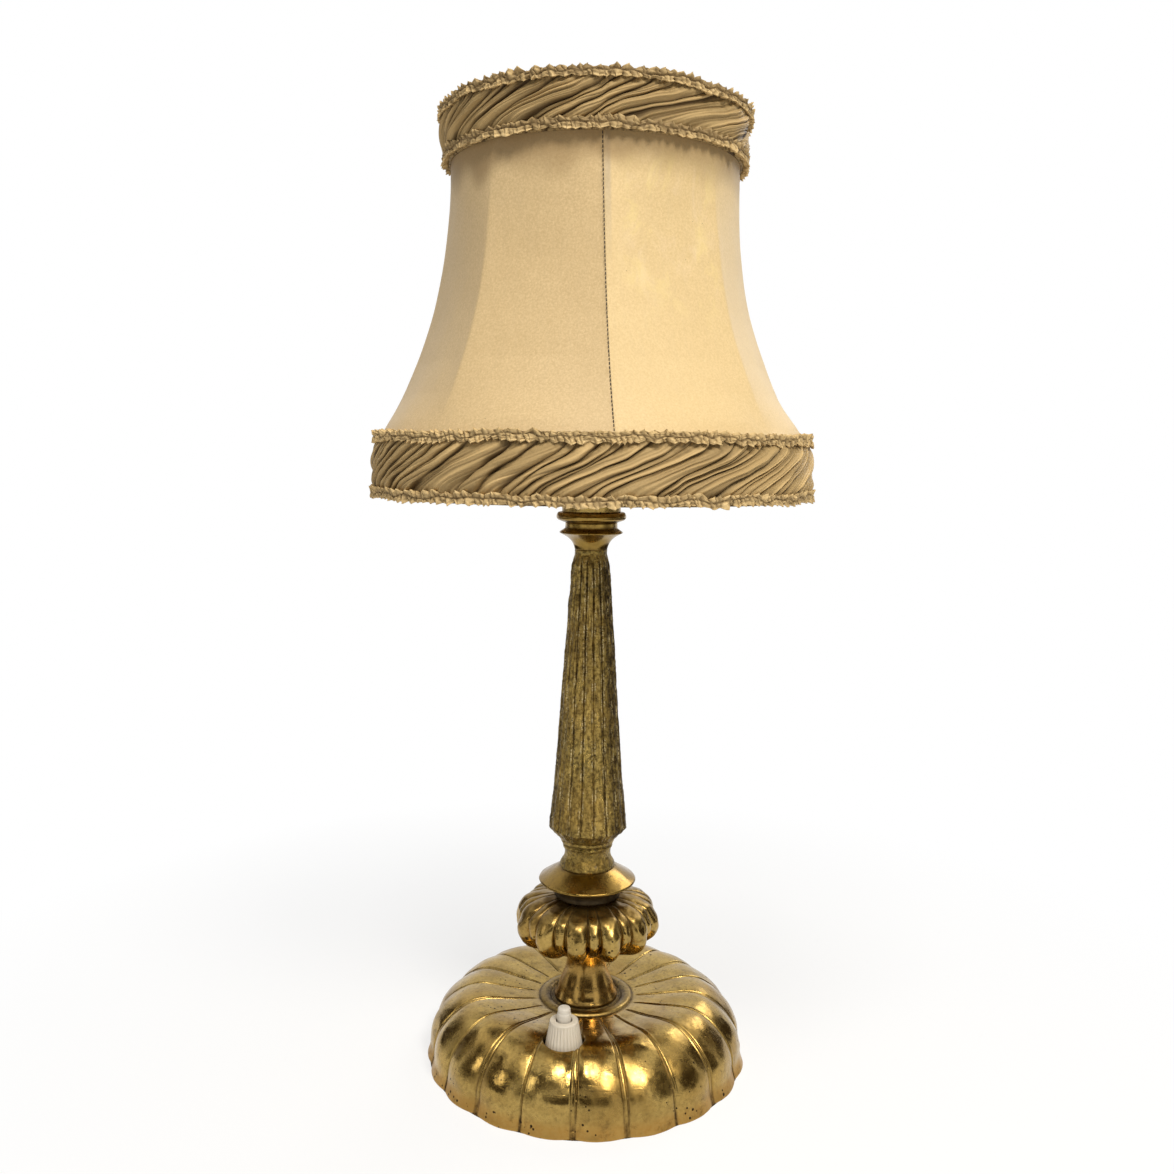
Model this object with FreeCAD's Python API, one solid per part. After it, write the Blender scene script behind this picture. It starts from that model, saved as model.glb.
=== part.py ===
import FreeCAD, Part
import math
import os
from FreeCAD import Vector

# Brass candlestick table lamp with a bell shade.
# Millimetres. +Z up, origin at the centre of the plane that the foot stands on.
# The front of the lamp, where the switch is, faces -Y.
# Angles are degrees round the axis from the front, positive towards +X.
# Profiles are lists of (radius, height) pairs.

# ---------------------------------------------------------------- foot
FOOT_SEAT_Z = 29.6                 # flat top that the spool stands on
FOOT_SEAT_THICKNESS = 3.2
FOOT_CREST = (                     # a petal's crest from the seat out to the lip, and its grooves' depth
    (24.5, 29.6, 0.0), (31.0, 30.6, 0.6), (39.0, 31.7, 0.9), (47.0, 32.9, 1.1), (54.5, 33.5, 1.3),
    (61.5, 32.4, 1.5), (67.5, 29.4, 1.7), (72.5, 25.4, 1.8), (76.6, 20.8, 1.8), (79.2, 15.8, 1.7),
    (80.0, 11.6, 1.5), (79.7, 8.6, 1.1), (80.5, 5.0, 0.9), (82.6, 0.0, 1.1))
FOOT_ROWS = 30
FOOT_CAVITY = (                    # inside of the casting, from the lip up to the seat
    (79.2, 0.0), (78.2, 3.5), (76.4, 8.0), (76.3, 12.0), (74.6, 17.5), (69.5, 23.0),
    (62.0, 27.2), (54.0, 29.0), (44.0, 28.4), (34.0, 27.0), (22.0, 26.4))
PETALS = 20
FIRST_GROOVE = -4.0
FINE_GROOVE_SHARE = 0.55           # every other groove is shallower
FOOT_RING_RADIUS = 20.0            # rounded ring round the spool's foot
FOOT_RING_ROUND = 2.2
FOOT_RING_SINK = 0.2

# ---------------------------------------------------------------- stack on the rod
ROD_RADIUS = 5.0
ROD_BORE = 3.6
ROD_CLEARANCE = 0.2
ROD_BELOW_NUT = 3.0
WASHER_RADIUS = 12.0
WASHER_THICKNESS = 1.5
NUT_ACROSS_FLATS = 17.0
NUT_HEIGHT = 6.0

SPOOL_HEIGHT = 27.4
SPOOL_FOOT_RADIUS = 16.8
SPOOL_FOOT_EDGE = 1.2
SPOOL_WAIST_RADIUS = 9.8
SPOOL_WAIST_HEIGHT = 20.0
SPOOL_TOP_RADIUS = 11.6

KNOP_CREST = (                     # a broad lobe's crest from the underside up, and its grooves' depth
    (13.0, 0.0, 0.0), (20.0, 0.6, 1.2), (27.0, 2.4, 2.2), (32.8, 5.6, 2.9), (36.2, 9.8, 3.3),
    (37.2, 14.2, 3.4), (36.2, 19.0, 3.2), (32.6, 23.8, 2.6), (26.4, 26.6, 1.5), (18.2, 27.5, 0.0))
KNOP_ROWS = 22
KNOP_BROAD_LOBES = 12
KNOP_BROAD_ANGLE = 18.0
KNOP_FIRST_CREST = -8.5
KNOP_NARROW_DROP = 0.35            # narrow lobes lie this share of the groove depth inside

CAP_HEIGHT = 5.5
CAP_RADIUS = 17.2
CAP_WAIST = 0.8

DISH_HEIGHT = 10.0
DISH_RADIUS = 25.0
DISH_RIM_HEIGHT = 2.6              # underside of the rim above the dish's seat
DISH_RIM_THICKNESS = 0.9
DISH_SHEET = 1.6

COLUMN_NECK = (                    # turned neck under the shaft, from its seat up
    (14.0, 0.0), (14.1, 1.2), (12.5, 4.2), (11.7, 7.0), (11.9, 9.2), (12.6, 10.2))
COLUMN_BEADS = ((12.9, 11.2, 0.8), (13.7, 13.6, 1.0))     # radius, height, half width
COLUMN_BEAD_GROOVE = 12.2
SHAFT_START = 14.6                 # height of the shaft's lower end above the neck's seat
SHAFT_CREST = (                    # a reed's crest, its share of the shaft's height, and its grooves' depth
    (20.0, 0.0437, 0.7), (19.2, 0.0955, 0.7), (17.1, 0.2415, 0.6), (14.2, 0.5252, 0.5), (11.2, 0.8063, 0.4),
    (9.5, 0.9673, 0.35))
SHAFT_ROWS = 12
SHAFT_FOOT_RADIUS = 13.6           # round ends under and over the reeds
SHAFT_END_HEIGHT = 146.6
SHAFT_REEDS = 18
SHAFT_FIRST_GROOVE = -11.0
SHAFT_NECK_LENGTH = 2.3            # plain end that meets the capital

CAPITAL_HEIGHT = 13.5
CAPITAL_FOOT_RADIUS = 8.1
CAPITAL_RIM_RADIUS = 15.8
CAPITAL_RIM_HEIGHT = 8.3
CAPITAL_RIM_THICKNESS = 0.5
CAPITAL_TOP_RADIUS = 13.0
DISC_HEIGHT = 5.0
DISC_RADIUS = 17.3

# ---------------------------------------------------------------- lampholder, for a small screw cap
CUP_HEIGHT = 14.0
CUP_RADIUS = 14.6
CUP_WALL = 1.0
CUP_FLOOR = 2.0
CUP_BOSS_RADIUS = 8.0
CUP_BOSS_HEIGHT = 9.0
SHELL_RADIUS = 14.0
SHELL_BORE = 12.1
SHELL_HEIGHT = 38.0
SHELL_SPIGOT_LENGTH = 4.0
SHELL_FLANGE_RADIUS = 17.5
SHELL_FLANGE_HEIGHT = 24.0         # top of the flange above the cup's rim
SHELL_FLANGE_THICKNESS = 2.2
INSULATOR_FLOOR = 12.0
INSULATOR_BELOW_TOP = 1.0
THREAD_RADIUS = 7.15               # inside of the lampholder's screw sleeve
THREAD_WALL = 0.45
THREAD_LENGTH = 22.0
CONTACT_RADIUS = 3.5
CONTACT_HEIGHT = 3.2
SHADE_RING_RADIUS = 20.0
SHADE_RING_HEIGHT = 5.0
SHADE_RING_NOTCHES = 24
SHADE_RING_NOTCH = 0.5
FIT = 0.1                          # clearance between pieces that fit together

# ---------------------------------------------------------------- bulb
CAP_THREAD_RADIUS = 6.95
BULB_CAP_LENGTH = 16.0
BULB_CAP_SKIRT_RADIUS = 8.2
BULB_CAP_SKIRT = 5.0
BULB_CAP_WALL = 0.4
BULB_TIP_RADIUS = 2.2
BULB_TIP_HEIGHT = 1.4
BULB_BASE_HEIGHT = 2.5
BULB_RADIUS = 22.5
BULB_LENGTH = 78.0
BULB_GLASS_WALL = 0.8
BULB_NECK_RADIUS = 7.7
STEM_RADIUS = 2.5
STEM_HEIGHT = 15.5
FILAMENT_RADIUS = 0.3
FILAMENT_SPREAD = 7.5
FILAMENT_RISE = 16.0
FILAMENT_LEG = 1.5                 # from the axis to a leg's foot

# ---------------------------------------------------------------- switch
SWITCH_X = -10.4
SWITCH_Y = -51.3
SWITCH_HOLE_RADIUS = 10.2
SWITCH_PAD_Z = 26.0                # flat pad under the foot, round the hole
SWITCH_PAD_RADIUS = 13.5
SWITCH_PLATE_THICKNESS = 1.5
PLATE_POCKET = 1.5                 # room under the plate, cut from the casting's wall
COLLAR_HEIGHT = 16.5
COLLAR_FOOT_RADIUS = 9.7
COLLAR_TOP_RADIUS = 6.4
COLLAR_EDGE = 0.3
COLLAR_FLUTES = 28
COLLAR_FLUTE_DEPTH = 0.4
COLLAR_MOUTH_RADIUS = 3.95
COLLAR_MOUTH_DEPTH = 2.2
BARREL_RADIUS = 5.0
PLUNGER_RADIUS = 3.35
PLUNGER_PROUD = 6.6
PLUNGER_TRAVEL = 3.2
SWITCH_BODY_RADIUS = 9.2
SWITCH_BODY_HEIGHT = 15.0
SPRING_WIRE = 0.35
SPRING_LENGTH = 9.0
SPRING_TURNS = 6
SPRING_SEAT = 3.0                  # bottom of the plunger's bore above the body's underside
TERMINAL_SIZE = (3.0, 0.8, 4.0)
TERMINAL_SPACING = 8.0
PLATE_SCREW_SPACING = 23.7
PLATE_SCREW_RADIUS = 0.9
PLATE_SCREW_HEAD = 1.6

# ---------------------------------------------------------------- underside and wiring
COVER_RADIUS = 78.3
COVER_THICKNESS = 1.2
COVER_Z = 1.6
FELT_RADIUS = 77.0
FELT_THICKNESS = 1.2
COVER_SCREW_ANGLES = (90.0, 210.0, 330.0)
COVER_SCREW_CIRCLE = 66.0
COVER_SCREW_RADIUS = 1.5
COVER_SCREW_HEAD = 2.8
COVER_SCREW_HEAD_HEIGHT = 1.0
COVER_SCREW_LENGTH = 9.0
COVER_SCREW_SLOT = (0.7, 0.5)      # width and depth
COVER_BOSS_RADIUS = 4.0
GLAND_Z = 13.0
GLAND_BORE = 3.25
GLAND_BODY_RADIUS = 4.5
GLAND_FLANGE_RADIUS = 6.3
GLAND_FLANGE_THICKNESS = 2.0
GLAND_SPOTFACE_Y = 79.0
GLAND_LENGTH = 9.5
GLAND_NUT_RADIUS = 7.0
GLAND_NUT_THICKNESS = 2.5
GLAND_WALL = 2.9                   # wall between the spotface and the nut
BLOCK_SIZE = (16.0, 12.0, 8.0)
BLOCK_Y = 44.0
BLOCK_HOLE_RADIUS = 1.8
BLOCK_HOLE_DEPTH = 3.0
LEAD_RADIUS = 0.9
LEAD_START = 12.0                  # straight run of a lead at its terminal
LEAD_DROP = 5.0                    # from the rod's lower end down to the leads
FEED_SIDE = (-22.0, 6.0)           # the feed lead goes round the rod's nut through these two places
FEED_TURN = (-24.0, -20.0)
LIVE_TURN_Y = -14.0
LEAD_OFFSET = 1.6                  # each lead runs this far from the axis in the rod

# ---------------------------------------------------------------- shade
SHADE_DROP = 30.5                  # shade's lower edge below the carrier
COVER_HEIGHT = 128.2
COVER_CLOTH = (                    # bell's width from its top's, 0, to its foot's, 1; share of its height; flatness
    (1.0, 0.0, 0.0), (0.8905, 0.0499, 0.1), (0.7071, 0.1443, 0.5), (0.5207, 0.2574, 0.75), (0.2959, 0.4259, 0.8),
    (0.1479, 0.5928, 0.75), (0.0592, 0.7566, 0.5), (0.0178, 0.897, 0.2), (0.0, 1.0, 0.0))
COVER_FOOT_GAP = 0.4               # between the cover's foot and the lower band
COVER_TOP_GAP = 0.3
COVER_ROWS = 16
COVER_TUCK = 1.5                   # the cover's edges run this far inside the bands
CLOTH = 0.8
RIBS = 8
FIRST_RIB = 4.0
RIB_WIRE = 1.25
RIB_CLEAR = 0.3                    # between a rib and the cloth over it
RIB_ROWS = 26
RIB_END = 1.5                      # from a rib's end to the shade's edge
RIB_FOOT_INSETS = (0.2, 0.6)       # from the lower band to a rib, at its end and half way up the band
RIB_HEAD_INSETS = (1.6, 1.2)
RING_WIRE = 1.5
ARM_WIRE = 1.3
ARMS = 4
CARRIER_THICKNESS = 1.4
CARRIER_RADIUS = 22.5
BAND = 1.6                         # thickness of a ruched band
LOWER_BAND_HEIGHT = 30.5
LOWER_BAND_FOOT_RADIUS = 106.3
LOWER_BAND_TOP_RADIUS = 104.6
UPPER_BAND_HEIGHT = 24.5
UPPER_BAND_FOOT_RADIUS = 70.7
UPPER_BAND_TOP_RADIUS = 72.6
TRIM_HALF_HEIGHT = 2.4
TRIM_HALF_DEPTH = 0.9


# ================================================================ helpers
def polar(radius, angle, z):
    turn = math.radians(angle)
    return Vector(radius * math.sin(turn), -radius * math.cos(turn), z)


def turned(bore, *runs):
    """Solid of revolution. Two points make a straight run, more make a smooth curve."""
    edges = []
    for run in runs:
        points = [Vector(radius, 0, z) for radius, z in run]
        if len(points) == 2:
            edges.append(Part.LineSegment(points[0], points[1]).toShape())
        else:
            curve = Part.BSplineCurve()
            curve.interpolate(points)
            edges.append(curve.toShape())
    first = Vector(runs[0][0][0], 0, runs[0][0][1])
    last = Vector(runs[-1][-1][0], 0, runs[-1][-1][1])
    closing = [last, Vector(bore, 0, last.z), Vector(bore, 0, first.z), first]
    for start, end in zip(closing, closing[1:]):
        if start.distanceToPoint(end) > 1e-6:
            edges.append(Part.LineSegment(start, end).toShape())
    return Part.Face(Part.Wire(edges)).revolve(Vector(0, 0, 0), Vector(0, 0, 1), 360)


def tube(radius, bore, z, height):
    outer = Part.makeCylinder(radius, height, Vector(0, 0, z))
    return outer.cut(Part.makeCylinder(bore, height, Vector(0, 0, z)))


def raised(profile, z):
    return [(radius, height + z) for radius, height in profile]


def lifted(rows, z):
    return [(radius, height + z, depth) for radius, height, depth in rows]


def even_rows(rows, count):
    """Rows of (radius, height, depth) at even steps along the smooth curve through them."""
    curve = Part.BSplineCurve()
    curve.interpolate([Vector(radius, depth, z) for radius, z, depth in rows])
    return [(point.x, point.z, point.y) for point in curve.discretize(count)]


def lobed_solid(rows, lobes, ruled=False):
    """Loft through closed rows of arcs, each row (radius, height, depth).

    Each lobe is (groove angle, groove share, crest angle, crest share). A share of 1 lies a full
    depth inside the row, square to the profile, and 0 lies on it. The end rows stay flat."""
    upward = 1 if rows[-1][1] > rows[0][1] else -1
    wires = []
    for index, (radius, z, depth) in enumerate(rows):
        before = rows[max(index - 1, 0)]
        after = rows[min(index + 1, len(rows) - 1)]
        run = Vector(after[0] - before[0], 0, after[1] - before[1]).normalize()
        inward = Vector(-run.z, 0, run.x) * upward
        if index in (0, len(rows) - 1):
            inward = Vector(-1, 0, 0)

        def at(angle, share):
            return polar(radius + inward.x * depth * share, angle, z + inward.z * depth * share)

        edges = []
        for number, lobe in enumerate(lobes):
            groove, groove_share, crest, crest_share = lobe
            next_groove, next_share = lobes[(number + 1) % len(lobes)][:2]
            arc = Part.Arc(at(groove, groove_share), at(crest, crest_share), at(next_groove, next_share))
            edges.append(arc.toShape())
        wires.append(Part.Wire(edges))
    return Part.makeLoft(wires, True, ruled)


def even_lobes(count, first_groove, shares=(1.0,)):
    step = 360.0 / count
    return [(first_groove + step * n, shares[n % len(shares)], first_groove + step * (n + 0.5), 0.0)
            for n in range(count)]


def cord_path(points):
    """Straight runs joined by arcs as large as the two runs allow."""
    edges = []
    start = points[0]
    for before, corner, after in zip(points, points[1:], points[2:]):
        leg_in = (before - corner)
        leg_out = (after - corner)
        reach = 0.45 * min(leg_in.Length, leg_out.Length)
        arc_start = corner + leg_in.normalize() * reach
        arc_end = corner + leg_out.normalize() * reach
        half = leg_in.getAngle(leg_out) / 2
        radius = reach * math.tan(half)
        middle = corner + (leg_in + leg_out).normalize() * (radius / math.sin(half) - radius)
        edges.append(Part.LineSegment(start, arc_start).toShape())
        edges.append(Part.Arc(arc_start, middle, arc_end).toShape())
        start = arc_end
    edges.append(Part.LineSegment(start, points[-1]).toShape())
    return Part.Wire(edges)


def cord(points, radius):
    path = cord_path(points)
    circle = Part.Circle(points[0], points[1] - points[0], radius)
    return path.makePipeShell([Part.Wire(circle.toShape())], True, False)


def circle_loft(points, radius):
    """A smooth round wire through points in one plane."""
    wires = []
    for index, point in enumerate(points):
        before = points[max(index - 1, 0)]
        after = points[min(index + 1, len(points) - 1)]
        wires.append(Part.Wire(Part.Circle(point, after - before, radius).toShape()))
    return Part.makeLoft(wires, True)


def oval_ring(radius, z, half_depth, half_height):
    major = max(half_depth, half_height)
    minor = min(half_depth, half_height)
    centre = Vector(radius, 0, z)
    tall = centre + Vector(0, 0, major)
    side = centre + Vector(minor, 0, 0)
    face = Part.Face(Part.Wire(Part.Ellipse(tall, side, centre).toShape()))
    return face.revolve(Vector(0, 0, 0), Vector(0, 0, 1), 360)


def write(name, *solids):
    shape = solids[0] if len(solids) == 1 else Part.makeCompound(list(solids))
    shape.exportStep("parts/" + name + ".step")


# ================================================================ heights that follow from the stack
washer_z = FOOT_SEAT_Z - FOOT_SEAT_THICKNESS - WASHER_THICKNESS
nut_z = washer_z - NUT_HEIGHT
rod_z = nut_z - ROD_BELOW_NUT
spool_z = FOOT_SEAT_Z
knop_z = spool_z + SPOOL_HEIGHT
cap_z = knop_z + KNOP_CREST[-1][1]
dish_z = cap_z + CAP_HEIGHT
column_z = dish_z + DISH_HEIGHT
shaft_z = column_z + SHAFT_START
capital_z = shaft_z + SHAFT_END_HEIGHT + SHAFT_NECK_LENGTH
disc_z = capital_z + CAPITAL_HEIGHT
cup_z = disc_z + DISC_HEIGHT
rod_top_z = cup_z + CUP_BOSS_HEIGHT
shell_z = cup_z + CUP_HEIGHT
flange_z = shell_z + SHELL_FLANGE_HEIGHT
shell_top_z = shell_z + SHELL_HEIGHT
insulator_z = shell_z + 1.0
contact_z = insulator_z + INSULATOR_FLOOR
carrier_z = flange_z + FIT / 2
shade_ring_z = carrier_z + CARRIER_THICKNESS + FIT / 2
stack_bore = ROD_RADIUS + ROD_CLEARANCE

bulb_z = contact_z + CONTACT_HEIGHT + FIT
bulb_base_z = bulb_z + BULB_TIP_HEIGHT
bulb_cap_z = bulb_base_z + BULB_BASE_HEIGHT
bulb_skirt_z = bulb_cap_z + BULB_CAP_LENGTH
bulb_neck_z = bulb_skirt_z + 2.0

plate_z = SWITCH_PAD_Z - SWITCH_PLATE_THICKNESS
switch_z = plate_z - SWITCH_BODY_HEIGHT
collar_top_z = SWITCH_PAD_Z + COLLAR_HEIGHT
spring_z = switch_z + SPRING_SEAT
plunger_z = spring_z + SPRING_LENGTH
cover_top_z = COVER_Z + COVER_THICKNESS

shade_z = carrier_z - SHADE_DROP
cloth_z = shade_z + LOWER_BAND_HEIGHT - COVER_TUCK
cloth_top_z = cloth_z + COVER_HEIGHT
upper_band_z = cloth_top_z - COVER_TUCK
shade_top_z = upper_band_z + UPPER_BAND_HEIGHT


# ================================================================ foot and its underside
def base_foot():
    petals = even_lobes(PETALS, FIRST_GROOVE, (1.0, FINE_GROOVE_SHARE))
    body = lobed_solid(even_rows(FOOT_CREST, FOOT_ROWS), petals)
    ring_z = FOOT_SEAT_Z - FOOT_RING_SINK
    cavity = turned(0.0, FOOT_CAVITY)
    screw_bosses = []
    for angle in COVER_SCREW_ANGLES:
        place = polar(COVER_SCREW_CIRCLE, angle, cover_top_z)
        screw_bosses.append(Part.makeCylinder(COVER_BOSS_RADIUS, FOOT_SEAT_Z, place))
    pad = Part.makeCylinder(SWITCH_PAD_RADIUS, FOOT_SEAT_Z, Vector(SWITCH_X, SWITCH_Y, SWITCH_PAD_Z))
    inner = [boss.common(body) for boss in screw_bosses + [pad]]
    foot = body.cut(cavity).fuse(inner)
    foot = foot.fuse(Part.makeTorus(FOOT_RING_RADIUS, FOOT_RING_ROUND, Vector(0, 0, ring_z)))
    foot = foot.cut(Part.makeCylinder(stack_bore, 2 * FOOT_SEAT_Z))
    pocket_z = plate_z - PLATE_POCKET
    pocket_place = Vector(SWITCH_X, SWITCH_Y, pocket_z)
    foot = foot.cut(Part.makeCylinder(SWITCH_PAD_RADIUS + 2 * FIT, SWITCH_PAD_Z - pocket_z, pocket_place))
    foot = foot.cut(Part.makeCylinder(SWITCH_HOLE_RADIUS, FOOT_SEAT_Z, Vector(SWITCH_X, SWITCH_Y, plate_z)))
    for angle in COVER_SCREW_ANGLES:
        place = polar(COVER_SCREW_CIRCLE, angle, 0)
        foot = foot.cut(Part.makeCylinder(COVER_SCREW_RADIUS + FIT / 2, COVER_Z + COVER_SCREW_LENGTH + 1, place))
    for side in (-1, 1):
        place = Vector(SWITCH_X + side * PLATE_SCREW_SPACING / 2, SWITCH_Y, plate_z)
        foot = foot.cut(Part.makeCylinder(PLATE_SCREW_RADIUS + FIT / 2, 4.0, place))
    inside = GLAND_SPOTFACE_Y - GLAND_WALL
    outward = Vector(0, 1, 0)
    foot = foot.cut(Part.makeCylinder(GLAND_BODY_RADIUS + FIT, 20, Vector(0, inside - 8, GLAND_Z), outward))
    foot = foot.cut(Part.makeCylinder(GLAND_FLANGE_RADIUS + 2 * FIT, 10, Vector(0, GLAND_SPOTFACE_Y, GLAND_Z), outward))
    spot = Part.makeCylinder(GLAND_NUT_RADIUS + 1, 6, Vector(0, inside - 6, GLAND_Z), outward)
    return foot.cut(spot).removeSplitter()


def base_cover():
    plate = Part.makeCylinder(COVER_RADIUS, COVER_THICKNESS, Vector(0, 0, COVER_Z))
    for angle in COVER_SCREW_ANGLES:
        hole = Part.makeCylinder(COVER_SCREW_RADIUS + 2 * FIT, COVER_THICKNESS, polar(COVER_SCREW_CIRCLE, angle, COVER_Z))
        plate = plate.cut(hole)
    return plate


def felt_pad():
    felt_z = COVER_Z - FELT_THICKNESS
    felt = Part.makeCylinder(FELT_RADIUS, FELT_THICKNESS, Vector(0, 0, felt_z))
    for angle in COVER_SCREW_ANGLES:
        hole = Part.makeCylinder(COVER_SCREW_HEAD + 3 * FIT, FELT_THICKNESS, polar(COVER_SCREW_CIRCLE, angle, felt_z))
        felt = felt.cut(hole)
    return felt


def cover_screws():
    screws = []
    for angle in COVER_SCREW_ANGLES:
        head_place = polar(COVER_SCREW_CIRCLE, angle, COVER_Z - COVER_SCREW_HEAD_HEIGHT)
        head = Part.makeCylinder(COVER_SCREW_HEAD, COVER_SCREW_HEAD_HEIGHT, head_place)
        width, depth = COVER_SCREW_SLOT
        slot = Part.makeBox(2 * COVER_SCREW_HEAD, width, depth, head_place - Vector(COVER_SCREW_HEAD, width / 2, 0))
        shank = Part.makeCylinder(COVER_SCREW_RADIUS, COVER_SCREW_LENGTH, polar(COVER_SCREW_CIRCLE, angle, COVER_Z))
        screws.append(head.cut(slot).fuse(shank))
    return screws


# ================================================================ brass stack
def rod():
    return tube(ROD_RADIUS, ROD_BORE, rod_z, rod_top_z - rod_z)


def hexagon(across_flats, z, height, bore):
    corner = across_flats / math.sqrt(3)
    points = [polar(corner, 60 * n, z) for n in range(7)]
    prism = Part.Face(Part.makePolygon(points)).extrude(Vector(0, 0, height))
    return prism.cut(Part.makeCylinder(bore, height, Vector(0, 0, z)))


def spool():
    foot_edge = [(SPOOL_FOOT_RADIUS, spool_z), (SPOOL_FOOT_RADIUS, spool_z + SPOOL_FOOT_EDGE)]
    flare = [
        (SPOOL_FOOT_RADIUS, spool_z + SPOOL_FOOT_EDGE),
        (SPOOL_FOOT_RADIUS - 3.6, spool_z + 5.2),
        (SPOOL_WAIST_RADIUS + 1.2, spool_z + 0.7 * SPOOL_WAIST_HEIGHT),
        (SPOOL_WAIST_RADIUS, spool_z + SPOOL_WAIST_HEIGHT),
        (SPOOL_TOP_RADIUS, spool_z + SPOOL_HEIGHT)]
    return turned(stack_bore, foot_edge, flare)


def knop():
    step = 360.0 / KNOP_BROAD_LOBES
    half = KNOP_BROAD_ANGLE / 2
    lobes = []
    for n in range(KNOP_BROAD_LOBES):
        crest = KNOP_FIRST_CREST + step * n
        lobes.append((crest - half, 1.0, crest, 0.0))
        lobes.append((crest + half, 1.0, crest + step / 2, KNOP_NARROW_DROP))
    body = lobed_solid(even_rows(lifted(KNOP_CREST, knop_z), KNOP_ROWS), lobes)
    return body.cut(Part.makeCylinder(stack_bore, 2 * cap_z))


def knop_cap():
    side = [(CAP_RADIUS, cap_z), (CAP_RADIUS - CAP_WAIST, cap_z + CAP_HEIGHT / 2), (CAP_RADIUS, cap_z + CAP_HEIGHT)]
    return turned(stack_bore, side)


def drip_dish():
    rim_z = dish_z + DISH_RIM_HEIGHT
    neck = COLUMN_NECK[0][0]
    under = [(CAP_RADIUS, dish_z), (DISH_RADIUS - 0.6, rim_z)]
    edge = [(DISH_RADIUS - 0.6, rim_z), (DISH_RADIUS, rim_z + DISH_RIM_THICKNESS / 2),
            (DISH_RADIUS - 0.5, rim_z + DISH_RIM_THICKNESS)]
    cone = [(DISH_RADIUS - 0.5, rim_z + DISH_RIM_THICKNESS), (neck, dish_z + DISH_HEIGHT)]
    return turned(stack_bore, under, edge, cone)


def column():
    neck_curve = raised(COLUMN_NECK, column_z)
    runs = [neck_curve]
    last = neck_curve[-1]
    for radius, height, half in COLUMN_BEADS:
        low = (COLUMN_BEAD_GROOVE, column_z + height - half)
        top = (COLUMN_BEAD_GROOVE, column_z + height + half)
        runs.append([last, low])
        runs.append([low, (radius, column_z + height), top])
        last = top
    neck = turned(0.0, *runs)
    reeds = even_lobes(SHAFT_REEDS, SHAFT_FIRST_GROOVE)
    rows = [(radius, shaft_z + SHAFT_END_HEIGHT * share, depth) for radius, share, depth in SHAFT_CREST]
    top_z = shaft_z + SHAFT_END_HEIGHT
    shaft = lobed_solid(even_rows(rows, SHAFT_ROWS), reeds)
    chamfer = lobed_solid([(SHAFT_FOOT_RADIUS, shaft_z, 0.0), rows[0]], reeds, True)
    shoulder = lobed_solid([rows[-1], (CAPITAL_FOOT_RADIUS, top_z, 0.0)], reeds, True)
    end = Part.makeCylinder(CAPITAL_FOOT_RADIUS, SHAFT_NECK_LENGTH, Vector(0, 0, top_z))
    body = neck.fuse([chamfer, shaft, shoulder, end])
    return body.cut(Part.makeCylinder(stack_bore, 2 * capital_z)).removeSplitter()


def capital():
    rim_z = capital_z + CAPITAL_RIM_HEIGHT
    cove = [(CAPITAL_FOOT_RADIUS, capital_z), (8.9, capital_z + 2.6), (11.2, capital_z + 5.6),
            (CAPITAL_RIM_RADIUS, rim_z)]
    edge = [(CAPITAL_RIM_RADIUS, rim_z), (CAPITAL_RIM_RADIUS, rim_z + CAPITAL_RIM_THICKNESS)]
    shoulder = [(CAPITAL_RIM_RADIUS, rim_z + CAPITAL_RIM_THICKNESS), (CAPITAL_TOP_RADIUS, rim_z + 2.4)]
    top = [(CAPITAL_TOP_RADIUS, rim_z + 2.4), (CAPITAL_TOP_RADIUS, capital_z + CAPITAL_HEIGHT)]
    return turned(stack_bore, cove, edge, shoulder, top)


def capital_disc():
    flare = [(CAPITAL_TOP_RADIUS, disc_z), (DISC_RADIUS - 0.9, disc_z + 1.2)]
    side = [(DISC_RADIUS - 0.9, disc_z + 1.2), (DISC_RADIUS, disc_z + 2.2), (DISC_RADIUS, disc_z + 3.6),
            (DISC_RADIUS - 0.7, disc_z + DISC_HEIGHT)]
    return turned(stack_bore, flare, side)


# ================================================================ lampholder
def holder_cup():
    cup = Part.makeCylinder(CUP_RADIUS, CUP_HEIGHT, Vector(0, 0, cup_z))
    cup = cup.cut(Part.makeCylinder(CUP_RADIUS - CUP_WALL, CUP_HEIGHT, Vector(0, 0, cup_z + CUP_FLOOR)))
    cup = cup.fuse(Part.makeCylinder(CUP_BOSS_RADIUS, CUP_BOSS_HEIGHT, Vector(0, 0, cup_z)))
    return cup.cut(Part.makeCylinder(ROD_RADIUS + FIT / 2, CUP_HEIGHT, Vector(0, 0, cup_z)))


def holder_shell():
    spigot_radius = CUP_RADIUS - CUP_WALL - FIT
    shell = Part.makeCylinder(SHELL_RADIUS, SHELL_HEIGHT, Vector(0, 0, shell_z))
    spigot = Part.makeCylinder(spigot_radius, SHELL_SPIGOT_LENGTH, Vector(0, 0, shell_z - SHELL_SPIGOT_LENGTH))
    flange = Part.makeCylinder(SHELL_FLANGE_RADIUS, SHELL_FLANGE_THICKNESS,
                               Vector(0, 0, flange_z - SHELL_FLANGE_THICKNESS))
    body = shell.fuse([spigot, flange])
    bore = Part.makeCylinder(SHELL_BORE, 2 * SHELL_HEIGHT, Vector(0, 0, shell_z - SHELL_SPIGOT_LENGTH))
    return body.cut(bore)


def holder_insulator():
    top = shell_top_z - INSULATOR_BELOW_TOP
    body = Part.makeCylinder(SHELL_BORE - FIT / 2, top - insulator_z, Vector(0, 0, insulator_z))
    pocket = Part.makeCylinder(THREAD_RADIUS + THREAD_WALL + FIT / 2, top, Vector(0, 0, contact_z))
    body = body.cut(pocket)
    for side in (-1, 1):
        place = Vector(side * LEAD_OFFSET, 0, insulator_z)
        body = body.cut(Part.makeCylinder(LEAD_RADIUS + FIT, INSULATOR_FLOOR / 2, place))
    return body


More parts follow.
